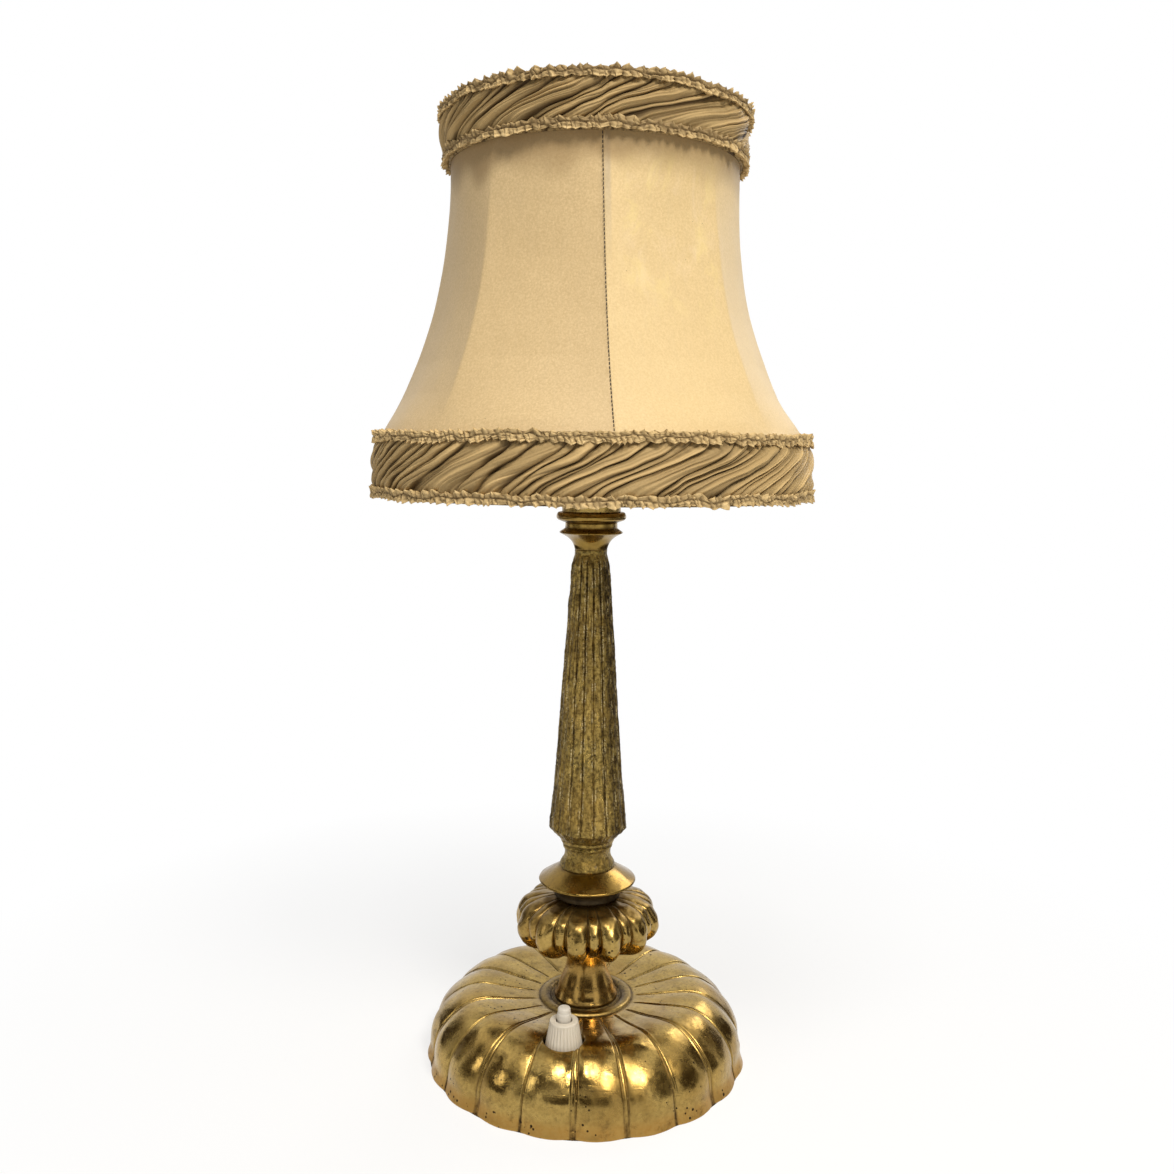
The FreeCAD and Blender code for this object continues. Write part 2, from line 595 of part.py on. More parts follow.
def holder_thread():
    return tube(THREAD_RADIUS + THREAD_WALL, THREAD_RADIUS, contact_z, THREAD_LENGTH)


def holder_contact():
    foot = Part.makeCylinder(CONTACT_RADIUS, 1.0, Vector(0, 0, contact_z))
    post = Part.makeCylinder(CONTACT_RADIUS / 2, CONTACT_HEIGHT, Vector(0, 0, contact_z))
    return foot.fuse(post)


def shade_ring():
    notches = even_lobes(SHADE_RING_NOTCHES, 0.0)
    top_z = shade_ring_z + SHADE_RING_HEIGHT
    rows = [(SHADE_RING_RADIUS, z, SHADE_RING_NOTCH) for z in (shade_ring_z, top_z)]
    ring = lobed_solid(rows, notches, True)
    return ring.cut(Part.makeCylinder(SHELL_RADIUS + FIT / 2, SHADE_RING_HEIGHT, Vector(0, 0, shade_ring_z)))


# ================================================================ bulb
def bulb_contact():
    return turned(0.0, [(BULB_TIP_RADIUS * 0.6, bulb_z), (BULB_TIP_RADIUS, bulb_z + 0.5)],
                  [(BULB_TIP_RADIUS, bulb_z + 0.5), (BULB_TIP_RADIUS, bulb_base_z)])


def bulb_insulator():
    return turned(0.0, [(BULB_TIP_RADIUS + 0.3, bulb_base_z), (CAP_THREAD_RADIUS - 1.6, bulb_cap_z)])


def bulb_cap():
    skirt_top = bulb_skirt_z + BULB_CAP_SKIRT
    low = [(CAP_THREAD_RADIUS - 1.6, bulb_cap_z), (CAP_THREAD_RADIUS, bulb_cap_z + 1.2)]
    side = [(CAP_THREAD_RADIUS, bulb_cap_z + 1.2), (CAP_THREAD_RADIUS, bulb_skirt_z)]
    flare = [(CAP_THREAD_RADIUS, bulb_skirt_z), (BULB_CAP_SKIRT_RADIUS, bulb_skirt_z + 2)]
    skirt = [(BULB_CAP_SKIRT_RADIUS, bulb_skirt_z + 2), (BULB_CAP_SKIRT_RADIUS, skirt_top)]
    outside = turned(0.0, low, side, flare, skirt)
    bore = CAP_THREAD_RADIUS - BULB_CAP_WALL
    wide = BULB_CAP_SKIRT_RADIUS - BULB_CAP_WALL
    inside = turned(0.0, [(bore, bulb_cap_z + 1.6), (bore, bulb_skirt_z)], [(bore, bulb_skirt_z), (wide, bulb_neck_z)],
                    [(wide, bulb_neck_z), (wide, skirt_top + 1)])
    return outside.cut(inside)


def bulb_glass():
    centre_z = bulb_z + BULB_LENGTH - BULB_RADIUS

    def balloon(wall):
        radius = BULB_RADIUS - wall
        neck = BULB_NECK_RADIUS - wall
        low = radius * 0.72
        meet = (math.sqrt(radius ** 2 - low ** 2), centre_z - low)
        side = (radius, centre_z)
        between = radius * math.sin(math.radians(45))
        return turned(0.0, [(neck, bulb_neck_z), (neck, bulb_neck_z + 8)],
                      [(neck, bulb_neck_z + 8), (neck + 2.2, bulb_neck_z + 13), meet],
                      [meet, side, (between, centre_z + between), (0.0, centre_z + radius)])

    return balloon(0.0).cut(balloon(BULB_GLASS_WALL))


def bulb_stem():
    flare = BULB_NECK_RADIUS - BULB_GLASS_WALL - FIT / 2
    return turned(0.0, [(flare, bulb_neck_z), (flare, bulb_neck_z + 1)],
                  [(flare, bulb_neck_z + 1), (STEM_RADIUS, bulb_neck_z + 5)],
                  [(STEM_RADIUS, bulb_neck_z + 5), (STEM_RADIUS, bulb_neck_z + STEM_HEIGHT)])


def bulb_filament():
    foot = bulb_neck_z + STEM_HEIGHT + FILAMENT_RADIUS
    spread = FILAMENT_SPREAD
    top = foot + FILAMENT_RISE
    points = [Vector(-FILAMENT_LEG, 0, foot), Vector(-spread, 0, top - 3), Vector(-0.7 * spread, -0.8 * spread, top),
              Vector(0, -1.1 * spread, top + 0.6), Vector(0.7 * spread, -0.8 * spread, top),
              Vector(spread, 0, top - 3), Vector(FILAMENT_LEG, 0, foot)]
    return cord(points, FILAMENT_RADIUS)


# ================================================================ switch
def at_switch(shape):
    shape.translate(Vector(SWITCH_X, SWITCH_Y, 0))
    return shape


def switch_collar():
    rows = [(COLLAR_FOOT_RADIUS, SWITCH_PAD_Z, COLLAR_FLUTE_DEPTH),
            (COLLAR_TOP_RADIUS + COLLAR_EDGE, collar_top_z - COLLAR_EDGE, COLLAR_FLUTE_DEPTH),
            (COLLAR_TOP_RADIUS, collar_top_z, 0.0)]
    collar = lobed_solid(rows, even_lobes(COLLAR_FLUTES, 0.0), True)
    thread = Part.makeCylinder(BARREL_RADIUS + FIT / 2, COLLAR_HEIGHT - COLLAR_MOUTH_DEPTH, Vector(0, 0, SWITCH_PAD_Z))
    mouth = Part.makeCylinder(COLLAR_MOUTH_RADIUS, COLLAR_HEIGHT, Vector(0, 0, SWITCH_PAD_Z))
    return at_switch(collar.cut(thread).cut(mouth))


def switch_plate():
    plate = Part.makeCylinder(SWITCH_PAD_RADIUS, SWITCH_PLATE_THICKNESS, Vector(0, 0, plate_z))
    plate = plate.cut(Part.makeCylinder(BARREL_RADIUS + FIT, SWITCH_PLATE_THICKNESS, Vector(0, 0, plate_z)))
    for side in (-1, 1):
        place = Vector(side * PLATE_SCREW_SPACING / 2, 0, plate_z)
        plate = plate.cut(Part.makeCylinder(PLATE_SCREW_RADIUS + FIT, SWITCH_PLATE_THICKNESS, place))
    return at_switch(plate)


def plate_screws():
    screws = []
    for side in (-1, 1):
        place = Vector(side * PLATE_SCREW_SPACING / 2, 0, plate_z)
        head = Part.makeCylinder(PLATE_SCREW_HEAD, 1.0, place - Vector(0, 0, 1.0))
        shank = Part.makeCylinder(PLATE_SCREW_RADIUS, SWITCH_PLATE_THICKNESS + 2.0, place)
        screws.append(at_switch(head.fuse(shank)))
    return screws


def switch_body():
    case = Part.makeCylinder(SWITCH_BODY_RADIUS, SWITCH_BODY_HEIGHT, Vector(0, 0, switch_z))
    barrel_top = collar_top_z - COLLAR_MOUTH_DEPTH - FIT
    barrel = Part.makeCylinder(BARREL_RADIUS, barrel_top - plate_z, Vector(0, 0, plate_z))
    bore = Part.makeCylinder(PLUNGER_RADIUS + FIT, barrel_top, Vector(0, 0, spring_z))
    return at_switch(case.fuse(barrel).cut(bore))


def switch_plunger():
    top_z = collar_top_z + PLUNGER_PROUD
    round_z = top_z - 1.2
    stem = [(PLUNGER_RADIUS, plunger_z), (PLUNGER_RADIUS, top_z - 3.2)]
    step = [(PLUNGER_RADIUS, top_z - 3.2), (PLUNGER_RADIUS - 0.25, top_z - 3.0)]
    tip = [(PLUNGER_RADIUS - 0.25, top_z - 3.0), (PLUNGER_RADIUS - 0.3, round_z)]
    crown = [(PLUNGER_RADIUS - 0.3, round_z), (PLUNGER_RADIUS - 1.2, top_z - 0.3), (0.0, top_z)]
    return at_switch(turned(0.0, stem, step, tip, crown))


def switch_spring():
    coil_radius = PLUNGER_RADIUS - 0.6
    pitch = (SPRING_LENGTH - 2 * SPRING_WIRE - 2 * FIT) / SPRING_TURNS
    helix = Part.makeHelix(pitch, pitch * SPRING_TURNS, coil_radius)
    section = Part.Wire(Part.Circle(Vector(coil_radius, 0, 0), Vector(0, 1, 0), SPRING_WIRE).toShape())
    coil = Part.Wire(helix).makePipeShell([section], True, True)
    coil.translate(Vector(0, 0, spring_z + SPRING_WIRE + FIT))
    return at_switch(coil)


def switch_terminals():
    width, thickness, height = TERMINAL_SIZE
    tabs = []
    for side in (-1, 1):
        corner = Vector(side * TERMINAL_SPACING / 2 - width / 2, -thickness / 2, switch_z - height)
        tabs.append(at_switch(Part.makeBox(width, thickness, height, corner)))
    return tabs


# ================================================================ cord inlet and leads
def cord_gland():
    outward = Vector(0, 1, 0)
    body_y = GLAND_SPOTFACE_Y - GLAND_LENGTH
    body = Part.makeCylinder(GLAND_BODY_RADIUS, GLAND_LENGTH, Vector(0, body_y, GLAND_Z), outward)
    flange = Part.makeCylinder(GLAND_FLANGE_RADIUS, GLAND_FLANGE_THICKNESS, Vector(0, GLAND_SPOTFACE_Y, GLAND_Z), outward)
    bore = Part.makeCylinder(GLAND_BORE, 2 * GLAND_LENGTH, Vector(0, body_y, GLAND_Z), outward)
    return body.fuse(flange).cut(bore)


def gland_nut():
    outward = Vector(0, 1, 0)
    nut_y = GLAND_SPOTFACE_Y - GLAND_WALL - GLAND_NUT_THICKNESS
    nut = Part.makeCylinder(GLAND_NUT_RADIUS, GLAND_NUT_THICKNESS, Vector(0, nut_y, GLAND_Z), outward)
    hole = Part.makeCylinder(GLAND_BODY_RADIUS + FIT / 2, GLAND_NUT_THICKNESS, Vector(0, nut_y, GLAND_Z), outward)
    return nut.cut(hole)


def terminal_block():
    length, width, height = BLOCK_SIZE
    block = Part.makeBox(length, width, height, Vector(-length / 2, BLOCK_Y - width / 2, cover_top_z))
    for side in (-1, 1):
        place = Vector(side * length / 4, BLOCK_Y, cover_top_z + height - BLOCK_HOLE_DEPTH)
        block = block.cut(Part.makeCylinder(BLOCK_HOLE_RADIUS, BLOCK_HOLE_DEPTH, place))
    return block


def block_front(side):
    length, width, height = BLOCK_SIZE
    return Vector(side * length / 4, BLOCK_Y - width / 2, cover_top_z + height / 2)


def lead_neutral():
    start = block_front(1)
    low = rod_z - LEAD_DROP
    points = [start, start - Vector(0, LEAD_START, 0), Vector(LEAD_OFFSET + LEAD_DROP, LEAD_START, low - LEAD_DROP / 2),
              Vector(LEAD_OFFSET, 0, low),
              Vector(LEAD_OFFSET, 0, insulator_z + 2)]
    return cord(points, LEAD_RADIUS)


def lead_live():
    tab = Vector(SWITCH_X + TERMINAL_SPACING / 2, SWITCH_Y, switch_z - TERMINAL_SIZE[2])
    low = rod_z - LEAD_DROP
    start = tab + Vector(0, TERMINAL_SIZE[1] / 2 + LEAD_RADIUS, TERMINAL_SIZE[2] / 2)
    points = [start, start + Vector(0, LEAD_START, 0), Vector(-LEAD_OFFSET - LEAD_DROP / 2, LIVE_TURN_Y, low - 1),
              Vector(-LEAD_OFFSET, 0, low),
              Vector(-LEAD_OFFSET, 0, insulator_z + 2)]
    return cord(points, LEAD_RADIUS)


def lead_feed():
    start = block_front(-1)
    tab = Vector(SWITCH_X - TERMINAL_SPACING / 2, SWITCH_Y, switch_z - TERMINAL_SIZE[2])
    end = tab + Vector(0, TERMINAL_SIZE[1] / 2 + LEAD_RADIUS, TERMINAL_SIZE[2] / 2)
    points = [start, start - Vector(0, LEAD_START, 0), Vector(*FEED_SIDE, start.z), Vector(*FEED_TURN, end.z + 0.5),
              end + Vector(-1, LEAD_START, 0), end]
    return cord(points, LEAD_RADIUS)


# ================================================================ shade
def rib_angle(number):
    return FIRST_RIB + 360.0 / RIBS * number


def cover_rows():
    """The cover's outside over a rib, from inside the lower band to inside the upper one."""
    foot = LOWER_BAND_TOP_RADIUS - BAND - COVER_FOOT_GAP
    top = UPPER_BAND_FOOT_RADIUS - BAND - COVER_TOP_GAP
    chord_drop = 1 - math.cos(math.radians(180.0 / RIBS))
    rows = []
    for width, share, flatness in COVER_CLOTH:
        radius = top + (foot - top) * width
        rows.append((radius, cloth_z + COVER_HEIGHT * share, radius * chord_drop * flatness))
    return even_rows(rows, COVER_ROWS)


def cover_cloth():
    """The whole cover: round at its two edges, flatter between the ribs in its waist."""
    panels = [(rib_angle(n), 0.0, rib_angle(n + 0.5), 1.0) for n in range(RIBS)]
    outer_rows = cover_rows()
    inner_rows = [(radius - CLOTH, z, depth) for radius, z, depth in outer_rows]
    return lobed_solid(outer_rows, panels).cut(lobed_solid(inner_rows, panels))


def cover_half(side):
    reach = 2 * LOWER_BAND_FOOT_RADIUS
    half = Part.makeBox(reach, 2 * reach, 2 * reach, Vector(0, -reach, cloth_z - reach))
    if side < 0:
        half.translate(Vector(-reach, 0, 0))
    half.rotate(Vector(0, 0, 0), Vector(0, 0, 1), FIRST_RIB)
    return cover_cloth().common(half)


def inside_band(foot_radius, top_radius, share):
    """Where a rib's centre line touches a band from inside, at a share of the band's height."""
    return foot_radius + (top_radius - foot_radius) * share - BAND - RIB_CLEAR - RIB_WIRE


def rib_line():
    """Centre line of a rib, just inside the cloth and the bands."""
    inset = CLOTH + RIB_CLEAR + RIB_WIRE
    cloth = cover_rows()
    bell = []
    for (radius, z, depth), (next_radius, next_z, next_depth) in zip(cloth, cloth[1:]):
        run = Vector(next_radius - radius, 0, next_z - z).normalize()
        bell.append(((radius + next_radius) / 2 - inset * run.z, 0.0, (z + next_z) / 2 + inset * run.x))
    foot = []
    for height, gap in zip((RIB_END, LOWER_BAND_HEIGHT / 2), RIB_FOOT_INSETS):
        radius = inside_band(LOWER_BAND_FOOT_RADIUS, LOWER_BAND_TOP_RADIUS, height / LOWER_BAND_HEIGHT)
        foot.append((radius - gap, 0.0, shade_z + height))
    head = []
    for height, gap in zip((UPPER_BAND_HEIGHT / 2, UPPER_BAND_HEIGHT - RIB_END), RIB_HEAD_INSETS):
        radius = inside_band(UPPER_BAND_FOOT_RADIUS, UPPER_BAND_TOP_RADIUS, height / UPPER_BAND_HEIGHT)
        head.append((radius - gap, 0.0, upper_band_z + height))
    curve = Part.BSplineCurve()
    curve.interpolate([Vector(*point) for point in foot + bell[1:] + head])
    return [(point.x, point.z) for point in curve.discretize(RIB_ROWS)]


def rib_radius(z):
    line = rib_line()
    for (low_radius, low_z), (high_radius, high_z) in zip(line, line[1:]):
        if low_z <= z <= high_z:
            return low_radius + (high_radius - low_radius) * (z - low_z) / (high_z - low_z)
    return line[0][0] if z < line[0][1] else line[-1][0]


def frame_ribs():
    ribs = []
    for number in range(RIBS):
        points = [polar(radius, rib_angle(number), z) for radius, z in rib_line()]
        ribs.append(circle_loft(points, RIB_WIRE))
    return ribs


def frame_ring(z):
    radius = rib_radius(z) - RIB_WIRE - RING_WIRE - FIT
    return Part.makeTorus(radius, RING_WIRE, Vector(0, 0, z))


arm_z = carrier_z + CARRIER_THICKNESS / 2
shoulder_z = arm_z - ARM_WIRE - RING_WIRE - FIT / 2


def frame_carrier():
    """Flat ring round the lampholder with its arms, which lie on the shoulder ring."""
    plate = tube(CARRIER_RADIUS, SHELL_RADIUS + 0.3, carrier_z, CARRIER_THICKNESS)
    reach = rib_radius(shoulder_z) - RIB_WIRE - RING_WIRE
    inner = SHADE_RING_RADIUS + 5 * FIT
    arms = []
    for number in range(ARMS):
        angle = FIRST_RIB + 360.0 / ARMS * number
        start = polar(inner, angle, arm_z)
        arms.append(Part.makeCylinder(ARM_WIRE, reach - inner, start, polar(1, angle, 0)))
    return plate.fuse(arms)


def band(foot_radius, top_radius, z, height):
    outside = [(foot_radius, z), (top_radius, z + height)]
    inside = [(foot_radius - BAND, z), (top_radius - BAND, z + height)]
    whole = turned(0.0, outside)
    return whole.cut(turned(0.0, inside))


def band_lower():
    return band(LOWER_BAND_FOOT_RADIUS, LOWER_BAND_TOP_RADIUS, shade_z, LOWER_BAND_HEIGHT)


def band_upper():
    return band(UPPER_BAND_FOOT_RADIUS, UPPER_BAND_TOP_RADIUS, upper_band_z, UPPER_BAND_HEIGHT)


def trim(band_radius, lean, z):
    """Braid round a band. It clears the band's widest part within the braid's height."""
    clear = abs(lean) * TRIM_HALF_HEIGHT + FIT
    return oval_ring(band_radius + clear + TRIM_HALF_DEPTH, z, TRIM_HALF_DEPTH, TRIM_HALF_HEIGHT)


def trims():
    half = TRIM_HALF_HEIGHT
    lower_lean = (LOWER_BAND_TOP_RADIUS - LOWER_BAND_FOOT_RADIUS) / LOWER_BAND_HEIGHT
    upper_lean = (UPPER_BAND_TOP_RADIUS - UPPER_BAND_FOOT_RADIUS) / UPPER_BAND_HEIGHT
    return {
        "trim_lower_bottom": trim(LOWER_BAND_FOOT_RADIUS + lower_lean * half, lower_lean, shade_z + half),
        "trim_lower_top": trim(LOWER_BAND_TOP_RADIUS - lower_lean * half, lower_lean,
                               shade_z + LOWER_BAND_HEIGHT - half),
        "trim_upper_bottom": trim(UPPER_BAND_FOOT_RADIUS + upper_lean * half, upper_lean, upper_band_z + half),
        "trim_upper_top": trim(UPPER_BAND_TOP_RADIUS - upper_lean * half, upper_lean, shade_top_z - half)}


# ================================================================ everything out
def main():
    os.makedirs("parts", exist_ok=True)
    write("base_foot", base_foot())
    write("base_cover", base_cover())
    write("felt_pad", felt_pad())
    write("cover_screws", *cover_screws())
    write("rod", rod())
    write("rod_nut", hexagon(NUT_ACROSS_FLATS, nut_z, NUT_HEIGHT, ROD_RADIUS + FIT / 2))
    write("rod_washer", tube(WASHER_RADIUS, stack_bore, washer_z, WASHER_THICKNESS))
    write("spool", spool())
    write("knop", knop())
    write("knop_cap", knop_cap())
    write("drip_dish", drip_dish())
    write("column", column())
    write("capital", capital())
    write("capital_disc", capital_disc())

    write("holder_cup", holder_cup())
    write("holder_shell", holder_shell())
    write("holder_insulator", holder_insulator())
    write("holder_thread", holder_thread())
    write("holder_contact", holder_contact())
    write("shade_ring", shade_ring())

    write("bulb_contact", bulb_contact())
    write("bulb_insulator", bulb_insulator())
    write("bulb_cap", bulb_cap())
    write("bulb_glass", bulb_glass())
    write("bulb_stem", bulb_stem())
    write("bulb_filament", bulb_filament())

    write("switch_collar", switch_collar())
    write("switch_plate", switch_plate())
    write("plate_screws", *plate_screws())
    write("switch_body", switch_body())
    write("switch_plunger", switch_plunger())
    write("switch_spring", switch_spring())
    write("switch_terminals", *switch_terminals())

    write("cord_gland", cord_gland())
    write("gland_nut", gland_nut())
    write("terminal_block", terminal_block())
    write("lead_neutral", lead_neutral())
    write("lead_live", lead_live())
    write("lead_feed", lead_feed())

    write("shade_cover_left", cover_half(-1))
    write("shade_cover_right", cover_half(1))
    write("band_lower", band_lower())
    write("band_upper", band_upper())
    for name, braid in trims().items():
        write(name, braid)
    write("frame_ribs", *frame_ribs())
    write("frame_bottom_ring", frame_ring(shade_z + 3.0))
    write("frame_shoulder_ring", frame_ring(shoulder_z))
    write("frame_neck_ring", frame_ring(upper_band_z + 1.0))
    write("frame_top_ring", frame_ring(shade_top_z - 3.5))
    write("frame_carrier", frame_carrier())


main()
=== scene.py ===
import math
import bpy
import numpy as np
from mathutils import Matrix, Vector


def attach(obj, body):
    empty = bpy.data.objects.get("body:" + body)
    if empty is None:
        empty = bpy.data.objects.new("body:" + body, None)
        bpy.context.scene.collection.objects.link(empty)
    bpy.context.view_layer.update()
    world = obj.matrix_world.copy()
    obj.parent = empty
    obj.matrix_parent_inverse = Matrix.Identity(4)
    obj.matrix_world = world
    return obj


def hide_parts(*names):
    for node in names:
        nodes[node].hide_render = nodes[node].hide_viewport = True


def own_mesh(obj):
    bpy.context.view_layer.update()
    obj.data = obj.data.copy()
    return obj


# Brass candlestick lamp with a bell shade.
# Lengths in the tables below are millimetres, and meshes are written in metres.
# Angles are degrees round the axis from the front (-Y), positive towards +X.

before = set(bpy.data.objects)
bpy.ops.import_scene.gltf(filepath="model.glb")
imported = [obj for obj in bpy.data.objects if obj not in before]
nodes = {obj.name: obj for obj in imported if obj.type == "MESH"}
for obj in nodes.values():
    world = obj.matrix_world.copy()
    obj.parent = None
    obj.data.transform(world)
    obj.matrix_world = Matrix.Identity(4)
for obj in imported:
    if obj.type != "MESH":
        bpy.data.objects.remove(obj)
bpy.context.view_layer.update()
MM = 0.001

# -------- sizes
# Outlines are pairs of radius and height. The foot's runs from its lip to the ring round the spool.
FOOT_CREST = (
    (82.5, 0.2), (81.8, 2.2), (81.1, 5.2), (80.8, 8.4), (80.5, 11.6), (79.4, 15.8), (76.6, 20.8),
    (72.5, 25.4), (67.5, 29.4), (61.5, 32.4), (54.5, 33.5), (47.0, 32.9), (39.0, 31.7),
    (31.0, 30.6), (26.5, 29.9), (24.2, 29.3))
FOOT_RING = ((23.5, 30.2), (21.9, 30.7), (20.0, 30.5), (18.7, 29.8), (18.2, 29.0), (17.6, 28.7))
FOOT_INSIDE = (
    (34.0, 27.0), (44.0, 28.4), (54.0, 29.0), (62.0, 27.2), (69.5, 23.0), (74.6, 17.5),
    (76.3, 12.0), (76.4, 8.0), (78.2, 3.5), (79.2, 0.0))
FOOT_DEPTH_RADII = (24.0, 31.0, 47.0, 61.5, 72.5, 80.0, 83.0)
FOOT_DEPTHS = (0.0, 0.25, 0.55, 0.9, 1.3, 1.8, 2.1)
PETAL = 18.0
FIRST_GROOVE = -4.0
STRONG_GROOVES = (-8, -6, -4, -2, 0, 1, 3, 5, 7, 9)
SWITCH_X = -10.4
SWITCH_Y = -51.3
SWITCH_HOLE = 10.2
BORE = 5.4
AXIS = 0.02
CORNERS = ((-1, -1), (1, -1), (1, 1), (-1, 1))

KNOP_Z = 57.0
KNOP_CREST = (
    (13.0, 0.0), (20.0, 0.6), (27.0, 2.4), (32.8, 5.6), (36.2, 9.8), (37.2, 14.2), (36.2, 19.0),
    (32.6, 23.8), (26.4, 26.6), (18.2, 27.5))
KNOP_DEPTHS = (0.6, 3.2, 4.6, 5.2, 5.1, 4.5, 3.4, 2.0, 1.0, 0.1)
KNOP_STEP = 30.0
KNOP_BROAD = 19.5
KNOP_FIRST = -8.5
KNOP_NARROW_DROP = 0.4

SHAFT_Z = 114.6
SHAFT_CREST = ((20.0, 6.4), (19.2, 14.0), (17.1, 35.4), (14.2, 77.0), (11.2, 118.2), (9.5, 141.8))
SHAFT_REEDS = 18
SHAFT_FIRST_GROOVE = -11.0

COVER_Z = 318.55
COVER_HEIGHT = 128.2
COVER_CREST = (
    (102.6, 0.0), (98.9, 6.4), (92.7, 18.5), (86.4, 33.0), (78.8, 54.6), (73.8, 76.0), (70.8, 97.0),
    (69.4, 115.0), (68.8, COVER_HEIGHT))
COVER_FLATNESS = (0.0, 0.1, 0.5, 0.75, 0.8, 0.75, 0.5, 0.2, 0.0)
COVER_CLOTH = 0.5
EDGE = 0.15
RIB_STEP = 45.0
FIRST_RIB = 4.0


# -------- curves and noise
def run_lengths(points):
    """Distance along a line of points from its first one."""
    return np.concatenate([[0.0], np.cumsum(np.linalg.norm(np.diff(points, axis=0), axis=1))])


def spline(points, step):
    """Evenly spaced points along a smooth curve through the given ones."""
    points = np.array(points, float)
    chord = run_lengths(points)
    count = len(points)
    if count == 2:
        number = max(2, int(chord[-1] / step) + 1)
        return points[0] + (points[1] - points[0]) * np.linspace(0, 1, number)[:, None]
    gap = np.diff(chord)
    system = np.eye(count)
    right = np.zeros_like(points)
    for i in range(1, count - 1):
        system[i, i - 1:i + 2] = gap[i - 1], 2 * (gap[i - 1] + gap[i]), gap[i]
        before = (points[i] - points[i - 1]) / gap[i - 1]
        after = (points[i + 1] - points[i]) / gap[i]
        right[i] = 6 * (after - before)
    bend = np.linalg.solve(system, right)
    at = np.linspace(0, chord[-1], 60 * count)
    k = np.clip(np.searchsorted(chord, at, side="right") - 1, 0, count - 2)
    width = gap[k][:, None]
    ahead = (at - chord[k])[:, None]
    back = width - ahead
    line = (bend[k] * back ** 3 + bend[k + 1] * ahead ** 3) / (6 * width)
    line += (points[k] / width - bend[k] * width / 6) * back
    line += (points[k + 1] / width - bend[k + 1] * width / 6) * ahead
    run = run_lengths(line)
    steps = np.linspace(0, run[-1], max(3, int(run[-1] / step) + 1))
    return np.stack([np.interp(steps, run, line[:, n]) for n in range(points.shape[1])], axis=1)


def outline(*runs, step=0.8):
    """Closed outline from runs that meet at corners. Each corner gets a small round."""
    rows = []
    for run in runs:
        line = spline(run, step)
        length = np.linalg.norm(np.diff(line, axis=0), axis=1).sum()
        ease = min(EDGE, length / 4)
        first = line[0] + (line[1] - line[0]) / np.linalg.norm(line[1] - line[0]) * ease
        last = line[-1] + (line[-2] - line[-1]) / np.linalg.norm(line[-2] - line[-1]) * ease
        ends = [np.linalg.norm(line[1:-1] - end, axis=1) for end in (line[0], line[-1])]
        rows += [first, *line[1:-1][np.minimum(*ends) > 1.5 * ease], last]
    loop = np.array(rows)
    following = np.roll(loop, -1, axis=0)
    area = (loop[:, 0] * following[:, 1] - following[:, 0] * loop[:, 1]).sum()
    return loop if area > 0 else loop[::-1]


def chain(start, *runs):
    """Runs that go on from one another and close. A lone point is a straight run to it."""
    made, here = [], start
    for run in runs:
        run = run if isinstance(run[0], tuple) else (run,)
        made.append((here, *run))
        here = run[-1]
    return made + [(here, start)]


def raised(points, z):
    return [(radius, height + z) for radius, height in points]


def waves(seed, points, length, count=9):
    """Smooth irregular values of about -1 to 1 with features of the given length."""
    rng = np.random.default_rng(seed)
    total = np.zeros(points[0].shape)
    for _ in range(count):
        aim = rng.normal(size=3)
        aim /= np.linalg.norm(aim)
        pace = 2 * math.pi / (length * rng.uniform(0.7, 1.6))
        phase = rng.uniform(0, 2 * math.pi)
        along = points[0] * aim[0] + points[1] * aim[1] + points[2] * aim[2]
        total += np.sin(along * pace + phase)
    return total / math.sqrt(count)


def unit(value):
    """Kept between 0 and 1."""
    return np.clip(value, 0, 1)


def ramp(low, high, value):
    """Smooth step from 0 at low to 1 at high."""
    t = unit((value - low) / (high - low))
    return t * t * (3 - 2 * t)


def hump(value, middle, width):
    """1 at the middle, fading to both sides."""
    return np.exp(-((value - middle) / width) ** 2)


def around(radius, angle, z):
    turn = np.radians(angle)
    return np.stack([radius * np.sin(turn), -radius * np.cos(turn), z], axis=-1)


def spot(radius, angle, z):
    """Where waves are read for a place on a solid."""
    turn = np.radians(angle)
    return radius * np.sin(turn), radius * np.cos(turn), z


# -------- meshes
def build(name, points, quads, uvs, material, body, replaced=(), values=None,
          shift=(0, 0, 0)):
    """Object of smooth quads on a body, with a float for each point under each name in values."""
    if uvs is None:
        uvs = np.zeros((len(quads), 4, 2))
    mesh = bpy.data.meshes.new(name)
    points = (points.reshape(-1, 3) + np.array(shift)) * MM
    mesh.vertices.add(len(points))
    mesh.vertices.foreach_set("co", points.ravel())
    mesh.loops.add(quads.size)
    mesh.loops.foreach_set("vertex_index", quads.ravel().astype(np.int32))
    mesh.polygons.add(len(quads))
    mesh.polygons.foreach_set("loop_start", np.arange(0, quads.size, 4, dtype=np.int32))
    mesh.polygons.foreach_set("use_smooth", np.ones(len(quads), bool))
    mesh.update(calc_edges=True)
    mesh.uv_layers.new(name="UVMap").data.foreach_set("uv", (uvs * MM).astype(np.float32).ravel())
    for key, value in (values or {}).items():
        layer = mesh.attributes.new(key, "FLOAT", "POINT")
        layer.data.foreach_set("value", value.astype(np.float32).ravel())
    mesh.validate()
    piece = bpy.data.objects.new(name, mesh)
    bpy.context.scene.collection.objects.link(piece)
    mesh.materials.append(material)
    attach(piece, body)
    if replaced:
        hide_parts(*replaced)
    return piece


